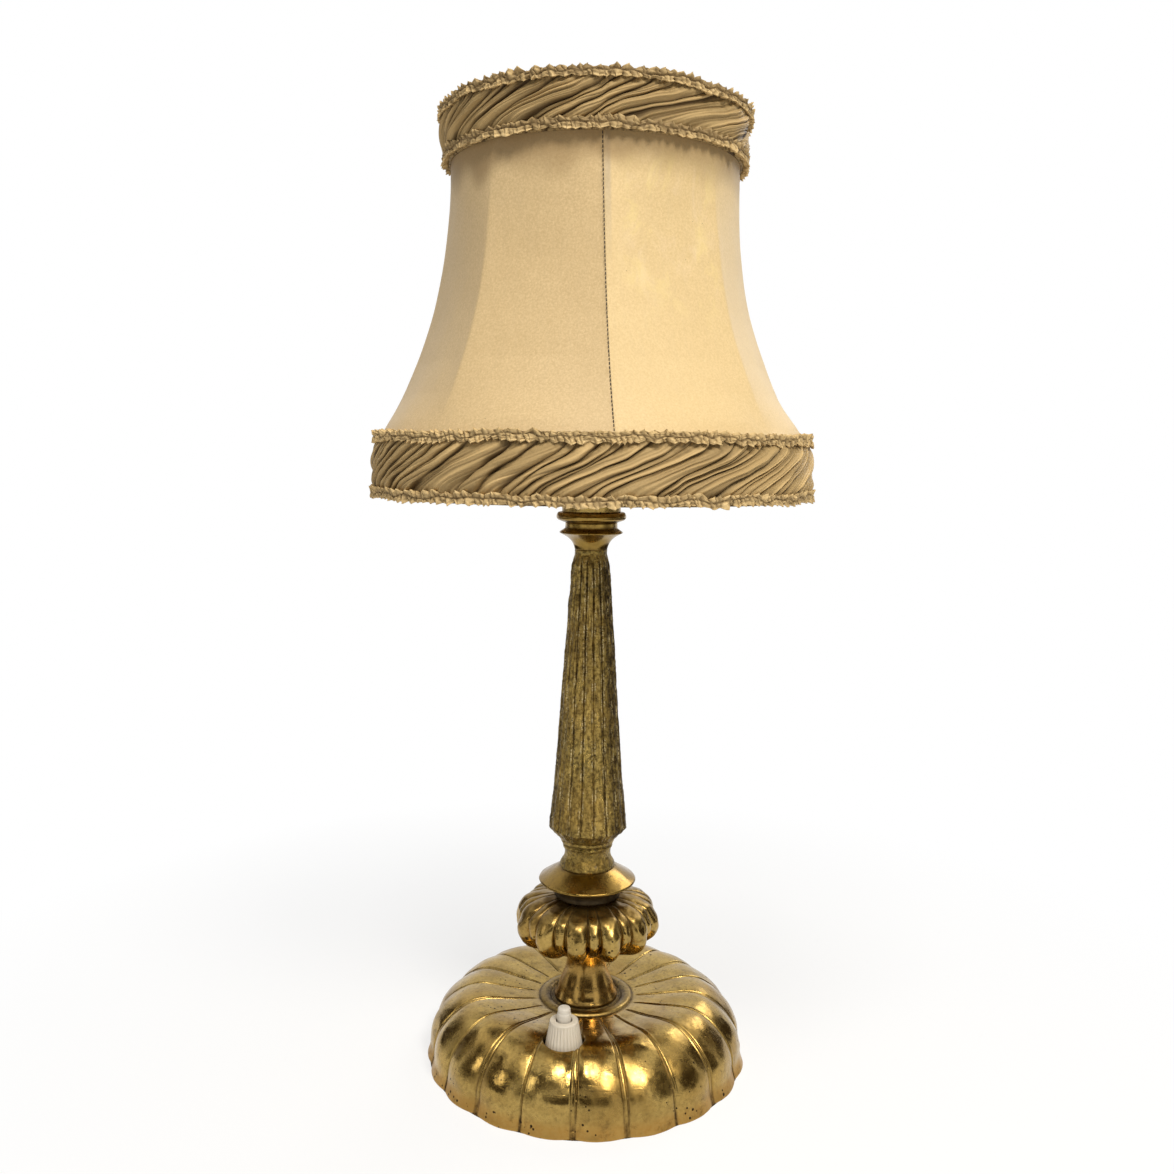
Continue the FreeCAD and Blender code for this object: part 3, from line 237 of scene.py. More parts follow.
def lattice(rows, columns, wrap_rows, wrap_columns):
    """Corner indices of the quads of a grid, and the same without wrapping for texture space."""
    j = np.arange(rows if wrap_rows else rows - 1)
    i = np.arange(columns if wrap_columns else columns - 1)
    j, i = np.meshgrid(j, i, indexing="ij")
    j, i = j.ravel(), i.ravel()
    corners = ((j, i), (j, i + 1), (j + 1, i + 1), (j + 1, i))
    quads = np.stack([(a % rows) * columns + b % columns for a, b in corners], axis=1)
    raw = np.stack([np.stack([a, b], axis=1) for a, b in corners], axis=1)
    return quads, raw


def ring(name, loop, count, material, body, replaced=(), shape=None, shift=(0, 0, 0),
         level=None):
    """Closed solid round the axis from a closed outline. shape gives how deep each point is
    pressed in, and values. Below the heights in level the pressing is level, so a flared edge
    doesn't bunch up."""
    turn = np.linspace(0, 360, count, endpoint=False)
    radius, angle = np.meshgrid(loop[:, 0], turn, indexing="ij")
    z = loop[:, 1][:, None] + 0 * angle
    values = None
    if shape:
        tangent = np.roll(loop, -1, axis=0) - np.roll(loop, 1, axis=0)
        tangent /= np.linalg.norm(tangent, axis=1)[:, None] + 1e-9
        inward = np.stack([-tangent[:, 1], tangent[:, 0]], axis=1)
        if level:
            inward[:, 1] *= ramp(*level, loop[:, 1])
            inward /= np.linalg.norm(inward, axis=1)[:, None] + 1e-9
        depth, values = shape(radius, angle, z)
        radius = radius + inward[:, 0][:, None] * depth
        z = z + inward[:, 1][:, None] * depth
    quads, raw = lattice(len(loop), count, True, True)
    length = run_lengths(np.vstack([loop, loop[:1]]))
    girth = 2 * math.pi * loop[:, 0].max()
    uvs = np.stack([raw[..., 1] / count * girth, length[raw[..., 0]]], axis=-1)
    points = around(radius, angle, z)
    return build(name, points, quads, uvs, material, body, replaced, values, shift)


def shell(name, outer, inner, wrap, girth, material, body, replaced, values):
    """Closed two-sided cloth from an outer and an inner grid with the same rows and columns."""
    rows, columns = outer.shape[:2]
    points = np.concatenate([outer, inner[::-1]])
    quads, raw = lattice(2 * rows, columns, True, wrap)
    fold = np.minimum(raw[..., 0], 2 * rows - 1 - raw[..., 0])
    height = np.linalg.norm(outer[-1, 0] - outer[0, 0])
    uvs = np.stack([raw[..., 1] / columns * girth, fold / rows * height], axis=-1)
    if not wrap:
        j = np.arange(rows - 1)
        low = np.stack([j, j + 1, 2 * rows - 2 - j, 2 * rows - 1 - j], axis=1) * columns
        high = low[:, ::-1] + columns - 1
        caps = np.concatenate([low, high])
        quads = np.concatenate([quads, caps])
        uvs = np.concatenate([uvs, np.zeros((len(caps), 4, 2))])
    values = {key: np.concatenate([value, value[::-1]]) for key, value in values.items()}
    return build(name, points, quads, uvs, material, body, replaced, values)


# -------- material helpers
class Look:
    """One node material, built socket by socket."""

    def __init__(self, name):
        self.material = bpy.data.materials.new(name)
        self.material.use_nodes = True
        self.tree = self.material.node_tree
        self.shader = self.tree.nodes["Principled BSDF"]
        self.object_space = self.node("ShaderNodeTexCoord").outputs["Object"]
        self.uv = self.tree.nodes["Texture Coordinate"].outputs["UV"]

    def node(self, kind, **settings):
        made = self.tree.nodes.new(kind)
        for key, value in settings.items():
            setattr(made, key, value)
        return made

    def link(self, source, target):
        self.tree.links.new(source, target)

    def fill(self, made, values):
        for key, value in values.items():
            if isinstance(value, bpy.types.NodeSocket):
                self.link(value, made.inputs[key])
            else:
                made.inputs[key].default_value = value
        return made

    def noise(self, scale, detail=4.0, rough=0.55, space=None, stretch=None, distort=0.0):
        space = space or self.object_space
        if stretch:
            mapping = self.fill(self.node("ShaderNodeMapping"), {"Vector": space, "Scale": stretch})
            space = mapping.outputs[0]
        values = {"Vector": space, "Scale": scale, "Detail": detail, "Roughness": rough,
                  "Distortion": distort}
        return self.fill(self.node("ShaderNodeTexNoise"), values).outputs["Fac"]

    def cells(self, scale):
        values = {"Vector": self.object_space, "Scale": scale}
        return self.fill(self.node("ShaderNodeTexVoronoi"), values).outputs["Distance"]

    def value(self, name):
        return self.node("ShaderNodeAttribute", attribute_name=name).outputs["Fac"]

    def remap(self, source, low, high, to_low=0.0, to_high=1.0):
        values = {"Value": source, "From Min": low, "From Max": high, "To Min": to_low,
                  "To Max": to_high}
        return self.fill(self.node("ShaderNodeMapRange"), values).outputs["Result"]

    def math(self, operation, first, second=0.0):
        made = self.node("ShaderNodeMath", operation=operation)
        return self.fill(made, {0: first, 1: second}).outputs[0]

    def times(self, first, second):
        return self.math("MULTIPLY", first, second)

    def mix(self, factor, first, second):
        made = self.node("ShaderNodeMix", data_type="RGBA")
        sockets = (made.inputs[0], made.inputs[6], made.inputs[7])
        for socket, value in zip(sockets, (factor, first, second)):
            if isinstance(value, bpy.types.NodeSocket):
                self.link(value, socket)
            elif isinstance(value, tuple):
                socket.default_value = (*value, 1.0)
            else:
                socket.default_value = value
        return made.outputs[2]

    def bump(self, height, distance, strength=1.0, under=None):
        values = {"Height": height, "Distance": distance, "Strength": strength}
        if under:
            values["Normal"] = under
        return self.fill(self.node("ShaderNodeBump"), values).outputs["Normal"]

    def finish(self, **sockets):
        self.fill(self.shader, {key.replace("_", " "): value for key, value in sockets.items()})
        return self.material


GRIME_AND_SHADE = (0.04, 0.024, 0.01)
BARE_BRASS = (0.86, 0.7, 0.36)
STAIN = (0.78, 0.62, 0.27)
FADED = (0.8, 0.64, 0.46)
SEAM_STRIP = (0.33, 0.29, 0.24)
PAINTED_SHADOW_TONE = (0.26, 0.165, 0.068)


def toned(colour, share):
    return tuple(min(1.0, c * share) for c in colour)


def brass(name, light, dark, polish, pits, grain, waver, grit=0.5):
    """Aged brass. polish is its least roughness, grain the cast sand, waver the uneven casting,
    pits how many there are and grit how much fine dark stain. A mesh may carry dirt, real
    soiling that on some pieces holds painted shade too, lip (matt and warm) and wear (bare
    metal), from 0 to 1."""
    look = Look(name)
    blotch = look.noise(48, 6.0, 0.62, distort=0.6)
    fine = look.noise(620, 4.0, 0.65)
    speck = look.noise(1250, 3.0, 0.6)
    colour = look.mix(look.remap(blotch, 0.34, 0.66), light, dark)
    stain = look.remap(fine, 0.45, 1.05 - 0.5 * grit, 0.0, grit)
    colour = look.mix(stain, colour, toned(dark, 0.5))
    warm = look.remap(look.noise(26, 3.0), 0.45, 0.75, 0.0, 0.35)
    colour = look.mix(warm, colour, (light[0] * 0.95, light[1] * 0.78, light[2] * 0.6))
    dirt_and_shade = look.value("dirt_and_shade")
    lip = look.value("lip")
    matt = look.times(lip, look.remap(fine, 0.3, 0.6, 0.5, 1.0))
    colour = look.mix(look.times(matt, 0.75), colour,
                      (light[0], light[1] * 0.82, light[2] * 0.66))
    field = look.math("ADD", look.cells(340), look.times(look.noise(70, 4.0), 1.3))
    field = look.math("SUBTRACT", field, look.times(lip, 0.07))
    pit = look.remap(field, pits, pits - 0.07)
    smudge = look.remap(look.noise(170, 7.0, 0.72), 0.56, 0.72, 0.0, 0.5)
    # Dirt and, on some pieces, painted shade join the pits and smudges in one dark mask.
    grime_and_shade = look.times(dirt_and_shade, look.remap(fine, 0.3, 0.7, 0.55, 1.0))
    grime_and_shade = look.math("MAXIMUM", look.math("MAXIMUM", grime_and_shade, pit), smudge)
    colour = look.mix(grime_and_shade, colour, GRIME_AND_SHADE)
    wear = look.times(look.value("wear"), look.remap(speck, 0.46, 0.56))
    colour = look.mix(look.times(wear, 0.9), colour, BARE_BRASS)
    rough = look.remap(look.noise(75, 7.0, 0.62), 0.34, 0.68, polish, polish + 0.28)
    rough = look.math("ADD", rough, look.times(grime_and_shade, 0.35))
    rough = look.math("ADD", rough, look.times(matt, 0.3))
    soft = look.bump(look.noise(75, 2.0, 0.4), 0.001, waver)
    sand = look.bump(speck, 0.00035, grain, soft)
    lines = look.noise(900, 2.0, 0.5, stretch=(1.0, 1.0, 0.16))
    lines = look.bump(lines, 0.00012, grain * 0.6, sand)
    scuff = look.remap(look.noise(420, 2.0, 0.5, stretch=(0.12, 1.0, 1.0), distort=0.5), 0.62, 0.68)
    scuffed = look.bump(scuff, 0.00008, 0.35, lines)
    holes = look.bump(pit, 0.0004, -0.5, scuffed)
    look.shader.inputs["Coat Weight"].default_value = 0.08
    look.shader.inputs["Coat Roughness"].default_value = 0.12
    return look.finish(Base_Color=colour, Metallic=1.0, Roughness=rough, Normal=holes)


def moulded(name, colour, rough, shade=0.75):
    look = Look(name)
    tone = look.mix(look.remap(look.noise(130, 4.0), 0.35, 0.7), colour, toned(colour, shade))
    specks = look.remap(look.noise(1400, 1.0), 0.7, 0.76, 0.0, 0.35)
    tone = look.mix(specks, tone, toned(colour, 0.4))
    normal = look.bump(look.noise(700, 3.0), 0.0001, 0.36)
    return look.finish(Base_Color=tone, Normal=normal,
                       Roughness=look.remap(look.noise(300), 0.3, 0.7, rough, rough + 0.15))


def metal(name, colour, rough):
    look = Look(name)
    tone = look.mix(look.remap(look.noise(180, 5.0), 0.35, 0.7), colour, toned(colour, 0.7))
    normal = look.bump(look.noise(1200, 3.0, stretch=(1.0, 1.0, 0.2)), 0.0001, 0.4)
    return look.finish(Base_Color=tone, Metallic=1.0, Normal=normal,
                       Roughness=look.remap(look.noise(350), 0.3, 0.7, rough, rough + 0.2))


def cloth(name, light, dark, rough, sheen, fold_shade=None, pattern=0.0, gloss=0.3):
    """Woven satin. pattern is how strong the stains are, where the mesh carries worn, seam and
    soil, a painted shadow. valley is the painted shade colour deep in folds, where ridge, a painted
    light share, is low. crown is a painted highlight on the fold tops."""
    look = Look(name)
    warp = look.noise(2600, 2.0, 0.6, space=look.uv, stretch=(1.0, 0.22, 1.0))
    weft = look.noise(2600, 2.0, 0.6, space=look.uv, stretch=(0.22, 1.0, 1.0))
    grain = look.math("ADD", look.times(warp, 0.55), look.times(weft, 0.45))
    slub = look.noise(420, 4.0, 0.6, space=look.uv, stretch=(1.0, 0.15, 1.0))
    speckle = look.noise(1050, 3.0, 0.7)
    patch = look.noise(20, 4.0, 0.55)
    tone = look.mix(look.remap(speckle, 0.36, 0.64, 0.0, 0.82), light, dark)
    tone = look.mix(look.remap(grain, 0.4, 0.6, 0.0, 0.35), tone, dark)
    tone = look.mix(look.remap(patch, 0.35, 0.7, 0.0, 0.3), tone, dark)
    tone = look.mix(look.remap(slub, 0.45, 0.75, 0.0, 0.28), tone, toned(light, 0.78))
    if pattern:
        worn = look.value("worn")
        stain = look.noise(42, 7.0, 0.66, stretch=(1.0, 1.0, 0.6), distort=1.6)
        shown = look.times(look.remap(stain, 0.5, 0.6), worn)
        tone = look.mix(look.times(shown, pattern), tone, STAIN)
        pale = look.noise(75, 7.0, 0.7, stretch=(1.0, 1.0, 0.55), distort=0.8)
        shown = look.times(look.remap(pale, 0.5, 0.66), worn)
        tone = look.mix(look.times(shown, pattern * 0.6), tone, FADED)
        dots = look.remap(look.cells(95), 0.03, 0.018, 0.0, 0.65)
        tone = look.mix(dots, tone, toned(dark, 0.4))
        tone = look.mix(look.times(look.value("seam"), 0.42), tone, SEAM_STRIP)
        # Painted shadow under the upper band.
        tone = look.mix(look.times(look.value("painted_shadow"), 0.72), tone, PAINTED_SHADOW_TONE)
    # Painted highlight on the fold tops and painted shade deep in the folds.
    if fold_shade:
        painted_highlight = look.times(look.value("painted_highlight"), look.remap(speckle, 0.3, 0.6, 0.45, 0.75))
        tone = look.mix(painted_highlight, tone, toned(light, 1.65))
        depth = look.remap(look.value("ridge"), 0.0, 0.8, 1.0, 0.0)
        tone = look.mix(look.times(depth, 0.95), tone, fold_shade)
    normal = look.bump(grain, 0.00014, 0.6)
    normal = look.bump(speckle, 0.0003, 0.18, normal)
    normal = look.bump(slub, 0.00015, 0.35, normal)
    look.shader.inputs["Sheen Weight"].default_value = sheen
    look.shader.inputs["Sheen Roughness"].default_value = 0.4
    look.shader.inputs["Specular IOR Level"].default_value = gloss
    return look.finish(Base_Color=tone, Roughness=rough, Normal=normal)


BRASS = brass("aged_brass", (0.49, 0.335, 0.1), (0.3, 0.192, 0.052), 0.11, 0.71, 0.1, 0.2, 0.6)
CAST = brass("cast_brass", (0.58, 0.412, 0.118), (0.27, 0.18, 0.046), 0.2, 0.63, 1.5, 0.35, 0.9)
# One turned brass in two tones, darker on the dish and capital and lighter on the spool: painted
# shade and painted light.
TURNED = brass("turned_brass", (0.34, 0.218, 0.05), (0.2, 0.118, 0.026), 0.07, 0.66, 0.1, 0.12)
SPOOL = brass("spool_brass", (0.5, 0.315, 0.088), (0.31, 0.182, 0.046), 0.07, 0.66, 0.1, 0.12)
# Darker copy of the pale brass for the cap ring under the dish: painted shade, with some tarnish.
DARKENED = brass("darkened_brass", (0.12, 0.086, 0.042), (0.05, 0.036, 0.016),
                 0.28, 0.6, 0.25, 0.15)
PALE = brass("pale_brass", (0.24, 0.18, 0.085), (0.11, 0.08, 0.035), 0.3, 0.6, 0.25, 0.15)
WHITE = moulded("white_moulded", (0.66, 0.595, 0.49), 0.34, 0.9)
GREY = moulded("button_moulded", (0.66, 0.61, 0.53), 0.3, 0.9)
BLACK = moulded("black_moulded", (0.02, 0.018, 0.016), 0.35)
CERAMIC = moulded("glazed_white", (0.72, 0.68, 0.6), 0.15, 0.9)
SLEEVE = moulded("lead_sleeving", (0.45, 0.42, 0.36), 0.6, 0.7)
STEEL = metal("plated_steel", (0.52, 0.51, 0.48), 0.28)
ALUMINIUM = metal("cap_metal", (0.66, 0.65, 0.62), 0.25)
FILAMENT = metal("filament_wire", (0.3, 0.29, 0.27), 0.4)
WIRE = moulded("coated_wire", (0.7, 0.66, 0.57), 0.45, 0.8)
# The right half of the cover is lighter: partly its own tone, with a step at the seam, and partly
# painted light from the right.
COVER = cloth("cover_satin", (0.68, 0.51, 0.28), (0.5, 0.36, 0.178), 0.55, 0.15, pattern=0.42)
COVER_LIGHT = cloth("cover_satin_light", (0.76, 0.58, 0.312), (0.6, 0.44, 0.215), 0.55, 0.15,
                    pattern=0.42)
BAND = cloth("ruched_satin", (0.43, 0.305, 0.142), (0.32, 0.219, 0.095), 0.55, 0.0,
             (0.045, 0.023, 0.008), gloss=0.12)
TRIM = cloth("gathered_braid", (0.77, 0.58, 0.3), (0.53, 0.368, 0.165), 0.6, 0.0,
             (0.075, 0.04, 0.014), gloss=0.12)
THREAD = moulded("dark_thread", (0.045, 0.035, 0.028), 0.7)


def felt():
    look = Look("green_felt")
    fuzz = look.noise(900, 6.0, 0.7)
    tone = look.mix(look.remap(fuzz, 0.3, 0.7), (0.02, 0.05, 0.025), (0.05, 0.09, 0.045))
    look.shader.inputs["Sheen Weight"].default_value = 0.6
    return look.finish(Base_Color=tone, Roughness=0.95, Normal=look.bump(fuzz, 0.0006, 0.8))


def clear_glass():
    look = Look("clear_glass")
    look.shader.inputs["Transmission Weight"].default_value = 1.0
    look.shader.inputs["IOR"].default_value = 1.45
    smear = look.remap(look.noise(60, 5.0), 0.4, 0.8, 0.0, 0.06)
    colour = look.mix(smear, (0.98, 0.97, 0.95), (0.8, 0.78, 0.7))
    return look.finish(Base_Color=colour, Roughness=smear)


FELT = felt()
GLASS = clear_glass()

CAD_LOOKS = (
    (STEEL, "base_cover cover_screws rod rod_nut rod_washer switch_plate plate_screws"),
    (BLACK, "holder_shell shade_ring switch_body bulb_insulator"),
    (CERAMIC, "holder_insulator terminal_block"),
    (PALE, "holder_thread holder_contact switch_terminals cord_gland gland_nut"),
    (SLEEVE, "lead_neutral lead_live lead_feed"),
    (ALUMINIUM, "bulb_contact bulb_cap"),
    (GLASS, "bulb_glass bulb_stem"),
    (FILAMENT, "bulb_filament"),
    (FELT, "felt_pad"),
    (WIRE, "frame_ribs frame_bottom_ring frame_shoulder_ring frame_neck_ring frame_top_ring"),
    (WIRE, "frame_carrier"))
for look, names in CAD_LOOKS:
    for name in names.split():
        slots = nodes[name].data.materials
        slots.clear()
        slots.append(look)


# -------- foot
def foot_shape(radius, angle, z):
    outer = ramp(23.5, 27.0, radius) * ramp(-0.2, 0.6, z - foot_inside(radius))
    # Petals are numbered both ways from the front, and across goes from groove to groove.
    turn = ((angle - FIRST_GROOVE + 180) % 360 - 180) / PETAL
    number = np.floor(turn)
    across = turn - number
    following = np.where(number + 1 > 9, number - 19, number + 1)
    left = across < 0.5
    strong = np.where(left, np.isin(number, STRONG_GROOVES), np.isin(following, STRONG_GROOVES))
    weight = strong.astype(float)
    to_groove = np.where(left, across, 1 - across) * math.radians(PETAL) * radius
    signed = np.where(left, to_groove, -to_groove)
    place = spot(radius, angle, z)

    # The petals, then the line along each groove: a pair of strokes where it is strong.
    crest = np.abs(2 * across - 1)
    depth = np.interp(radius, FOOT_DEPTH_RADII, FOOT_DEPTHS) * (0.8 + 0.2 * weight) * crest ** 2.0
    reach = unit((radius - 26) / 50)
    spread = 0.35 + 0.8 * reach
    narrow = 0.28 + 0.2 * reach
    pair = hump(to_groove, spread, narrow) * np.where(signed > 0, 1.0, 0.7)
    fillet = hump(to_groove, 0, 0.6 * spread)
    single = hump(to_groove, 0, narrow + 0.08)
    rim = hump(signed, 1.25, 0.6)
    line = np.where(weight > 0.5, pair, single)
    cut = (0.34 + 0.26 * reach) * (1 + 0.25 * waves(14, place, 15))
    start = ramp(25.0, 29.0, radius)
    fading = np.where(radius > 70, ramp(3.0, 12.0, z), 1.0)
    depth = depth + start * fading * (cut * line - 0.1 * np.where(weight > 0.5, fillet, rim))
    uneven = 0.17 * waves(11, place, 26) + 0.06 * waves(12, place, 9) + 0.02 * waves(16, place, 4)
    depth = (depth + uneven * ramp(26, 34, radius)) * outer

    # Dirt lies in the lines and in the grooves at the lip. The ring round the spool is darkened all
    # over, more at its outer edge and most towards the spool: painted shade in the gap there.
    lip = ramp(9.0, 3.0, z) * outer
    dirt_and_shade = 0.8 * line * start * (0.75 + 0.25 * waves(15, place, 12))
    dirt_and_shade = (dirt_and_shade + 0.9 * lip * hump(to_groove, 0, 0.8)) * outer
    # Painted shade on the ring round the spool, darkest in the gap at the spool.
    seat = 0.48 + 0.52 * ramp(21.6, 19.4, radius) + 0.6 * hump(radius, 24.3, 0.4)
    seat = ramp(28.0, 28.5, z) * ramp(25.5, 24.6, radius) * seat
    return depth, {"dirt_and_shade": unit(dirt_and_shade + seat), "lip": lip}


def foot_inside(radius):
    """Height of the casting's inner wall, which stays plain."""
    return np.interp(radius, (22, 44, 54, 62, 69.5, 74.6, 76.4, 79.5),
                     (26.8, 28.8, 29.4, 27.8, 23.8, 18.4, 9.0, -1.0))


def base_foot():
    loop = outline(*chain(FOOT_CREST[0], FOOT_CREST[1:], FOOT_RING, (17.0, 29.6), (BORE, 29.6),
                          (BORE, 26.4), (22.0, 26.4), FOOT_INSIDE, (82.1, 0.0)))
    foot = ring("foot_casting", loop, 2000, BRASS, "lamp", ("base_foot",), foot_shape,
                level=(7.0, 18.0))
    runs = chain((AXIS, 15.0), (SWITCH_HOLE, 15.0), (SWITCH_HOLE, 36.0), (AXIS, 36.0))
    hole = ring("hole_cutter", outline(*runs, step=3), 96, BRASS, "lamp",
                shift=(SWITCH_X, SWITCH_Y, 0))
    cut = foot.modifiers.new("switch_hole", "BOOLEAN")
    cut.operation = "DIFFERENCE"
    cut.solver = "MANIFOLD"
    cut.object = hole
    graph = bpy.context.evaluated_depsgraph_get()
    bored = bpy.data.meshes.new_from_object(
        foot.evaluated_get(graph), preserve_all_data_layers=True, depsgraph=graph)
    foot.modifiers.clear()
    foot.data = bored
    bpy.data.objects.remove(hole)


# -------- turned pieces
# Darkening round given heights: dirt, and painted shade on the cap ring under the dish.
def dirt_and_shade_near(heights, width, strength):
    def shape(radius, angle, z):
        dirt_and_shade = np.zeros_like(z)
        for height in heights:
            dirt_and_shade = np.maximum(dirt_and_shade, strength * hump(z, height, width))
        place = spot(radius, angle, z)
        return 0.03 * waves(5, place, 8), {"dirt_and_shade": dirt_and_shade * (0.7 + 0.3 * waves(6, place, 5))}
    return shape


# Piece: its node, material, slot, columns and step, where it is darkened (heights, width,
# strength), by dirt and on the cap ring by painted shade, and the runs of its outline from the bore
# outwards.
TURNINGS = {
    "spool_turned": (
        "spool", SPOOL, "brass", 192, 0.5, ((30.2, 57.0), 0.7, 0.8),
        (BORE, 29.6), (16.3, 29.6),
        ((16.6, 30.4), (16.0, 31.6), (14.9, 33.6), (13.8, 37.0), (11.9, 41.6), (10.5, 46.0),
         (10.1, 50.5), (11.4, 57.0)),
        (BORE, 57.0)),
    # The cap ring's darkening all round is painted shade under the dish, with some tarnish.
    "cap_ring": (
        "knop_cap", DARKENED, "pale_brass", 160, 0.5, ((84.6, 87.0, 90.0), 1.2, 0.95),
        (BORE, 84.5), (17.0, 84.5), ((16.5, 87.2), (17.2, 90.0)), (BORE, 90.0)),
    "dish_turned": (
        "drip_dish", TURNED, "brass", 192, 0.5, ((99.8,), 0.5, 0.8),
        (BORE, 90.0), (17.2, 90.0), (24.2, 92.2), ((25.0, 92.8), (24.6, 93.5)), (14.0, 100.0),
        (BORE, 100.0)),
    "capital_turned": (
        "capital", TURNED, "brass", 160, 0.5, ((263.8, 274.6), 0.6, 0.8),
        (BORE, 263.5), (8.1, 263.5), ((8.9, 266.1), (11.2, 269.1), (15.8, 271.8)), (15.8, 272.3),
        (13.0, 274.2), (13.0, 277.0), (BORE, 277.0)),
    "disc_turned": (
        "capital_disc", TURNED, "brass", 160, 0.5, ((277.4,), 0.6, 0.8),
        (BORE, 277.0), (13.0, 277.0), (16.4, 278.2), ((17.3, 279.2), (17.3, 280.6), (16.6, 282.0)),
        (BORE, 282.0)),
    "holder_cup_spun": (
        "holder_cup", BRASS, "brass", 160, 1.0, ((282.4,), 0.6, 0.6),
        (BORE, 282.0), (14.6, 282.0), (14.6, 296.0), (13.6, 296.0), (13.6, 284.0), (8.0, 284.0),
        (8.0, 291.0), (BORE, 291.0))}


def turned(piece):
    node, material, slot, columns, step, dirt_and_shade, *runs = TURNINGS[piece]
    ring(piece, outline(*chain(*runs), step=step), columns, material, "lamp", (node,),
         dirt_and_shade_near(*dirt_and_shade))


# -------- knop and column
def knop_shape(radius, angle, z):
    start = (angle - (KNOP_FIRST - KNOP_BROAD / 2)) % KNOP_STEP
    broad = start < KNOP_BROAD
    across = np.where(broad, start / KNOP_BROAD, (start - KNOP_BROAD) / (KNOP_STEP - KNOP_BROAD))
    crest = np.abs(2 * across - 1)
    rounded = 1 - np.sqrt(unit(1 - 0.96 * crest ** 2))
    rounded = rounded / rounded.max()
    base = np.where(broad, 0.0, KNOP_NARROW_DROP)
    depth = np.interp(z - KNOP_Z, np.array(KNOP_CREST)[:, 1], KNOP_DEPTHS)
    outside = ramp(12.5, 15.0, radius)
    place = spot(radius, angle, z)
    swell = np.where(broad, 0.8, -0.5) * hump(z - KNOP_Z, 7.0, 5.5) * (1 - crest ** 2)
    uneven = 0.26 * waves(21, place, 11) + 0.1 * waves(22, place, 4.5) - swell
    groove = hump((1 - crest) * np.where(broad, 5.6, 3.7), 0, 0.5)
    total = (depth * (base + (1 - base) * rounded) + uneven + 0.25 * groove) * outside
    height = z - KNOP_Z
    # Dirt lies in the grooves. The darkening over the top is painted shade under the dish; the knop
    # is darker at its foot as well.
    dirt_and_shade = 0.75 * groove + 0.45 * ramp(17.0, 26.0, height) + 0.3 * ramp(2.5, 0.0, height)
    return total, {"dirt_and_shade": unit(dirt_and_shade * outside)}


def knop():
    crest = raised(KNOP_CREST, KNOP_Z)
    runs = chain((BORE, KNOP_Z), crest[0], crest[1:], (BORE, crest[-1][1]))
    ring("knop_casting", outline(*runs, step=0.55), 900, BRASS, "lamp", ("knop",),
         knop_shape)


def shaft_shape(radius, angle, z):
    reeded = ramp(SHAFT_Z + 1.0, SHAFT_Z + 4.0, z) * ramp(SHAFT_Z + 146.0, SHAFT_Z + 142.0, z)
    reeded = reeded * ramp(7.0, 7.6, radius)
    step = 360.0 / SHAFT_REEDS
    place = spot(radius, angle, z)
    wander = 0.022 * waves(37, place, 16) + 0.016 * waves(39, place, 4)
    wander = wander + 0.022 * waves(42, place, 1.6, 14)
    turn = (angle - SHAFT_FIRST_GROOVE) / step + wander
    number = np.floor(turn).astype(int) % SHAFT_REEDS
    across = turn % 1.0
    crest = np.abs(2 * across - 1)
    to_groove = (1 - crest) / 2 * math.radians(step) * radius
    worn = np.random.default_rng(38).uniform(0.35, 1.15, SHAFT_REEDS + 1)
    near = np.where(across < 0.5, worn[number], worn[number + 1])
    line = hump(to_groove, 0, 0.42)
    beside = hump(to_groove, 1.05, 0.35) * ramp(-0.4, 0.8, waves(36, place, 18))
    streak = waves(33, (place[0], place[1], z * 0.1), 1.7, 14)
    uneven = 0.12 * waves(31, place, 14) + 0.08 * waves(32, place, 3.2)
    uneven = uneven + 0.06 * waves(35, place, 1.6, 14)
    outside = ramp(6.2, 7.2, radius)
    depth = reeded * (0.45 * crest ** 3 + near * 0.7 * line + 0.24 * beside + 0.11 * streak)
    collar = hump(z, 103.4, 1.2) + hump(z, 112.4, 0.6)
    mottle = waves(34, (place[0], place[1], z * 0.15), 7)
    mottle = ramp(0.1, 1.3, mottle + 0.4 * waves(40, (place[0], place[1], z * 0.2), 2.4))
    # Painted dark reflection: the column is darkened on its right side and, a little less, on its
    # left, where dark surroundings would be mirrored.
    painted_dark_reflection = ramp(22, 50, angle) * ramp(140, 105, angle)
    painted_dark_reflection = painted_dark_reflection + 0.8 * ramp(306, 290, angle) * ramp(250, 270, angle)
    painted_dark_reflection = painted_dark_reflection * (0.7 + 0.3 * waves(43, place, 6))
    dirt_and_shade = near * line + 0.4 * beside + 0.42 * ramp(0.1, 1.5, streak)
    dirt_and_shade = reeded * (dirt_and_shade + 0.2 * mottle + 0.84 * painted_dark_reflection) + 0.4 * collar
    edge = hump(to_groove, 0.72, 0.3) * reeded * ramp(-0.6, 0.7, waves(41, place, 6))
    return (depth + uneven) * outside, {"dirt_and_shade": unit(dirt_and_shade * outside), "wear": edge * outside}


def column():
    shaft = raised(SHAFT_CREST, SHAFT_Z)
    runs = chain(
        (BORE, 100.0), (14.0, 100.0),
        ((14.1, 101.2), (12.5, 104.2), (11.7, 107.0), (11.9, 109.2), (12.2, 110.3)),
        ((12.9, 111.2), (12.2, 112.1)), (12.2, 112.5), ((13.7, 113.6), (13.6, 114.6)),
        shaft[0], shaft[1:], (8.1, 261.2), (8.1, 263.5), (BORE, 263.5))
    ring("column_casting", outline(*runs, step=0.7), 720, CAST, "lamp", ("column",),
         shaft_shape)


# -------- switch
def flutes(radius, angle, z):
    across = (angle / 360.0 * 28) % 1.0
    fluted = ramp(41.9, 40.9, z) * ramp(6.2, 6.5, radius)
    groove = np.abs(2 * across - 1) ** 3
    return 0.5 * groove * fluted, {"dirt_and_shade": np.zeros_like(z)}


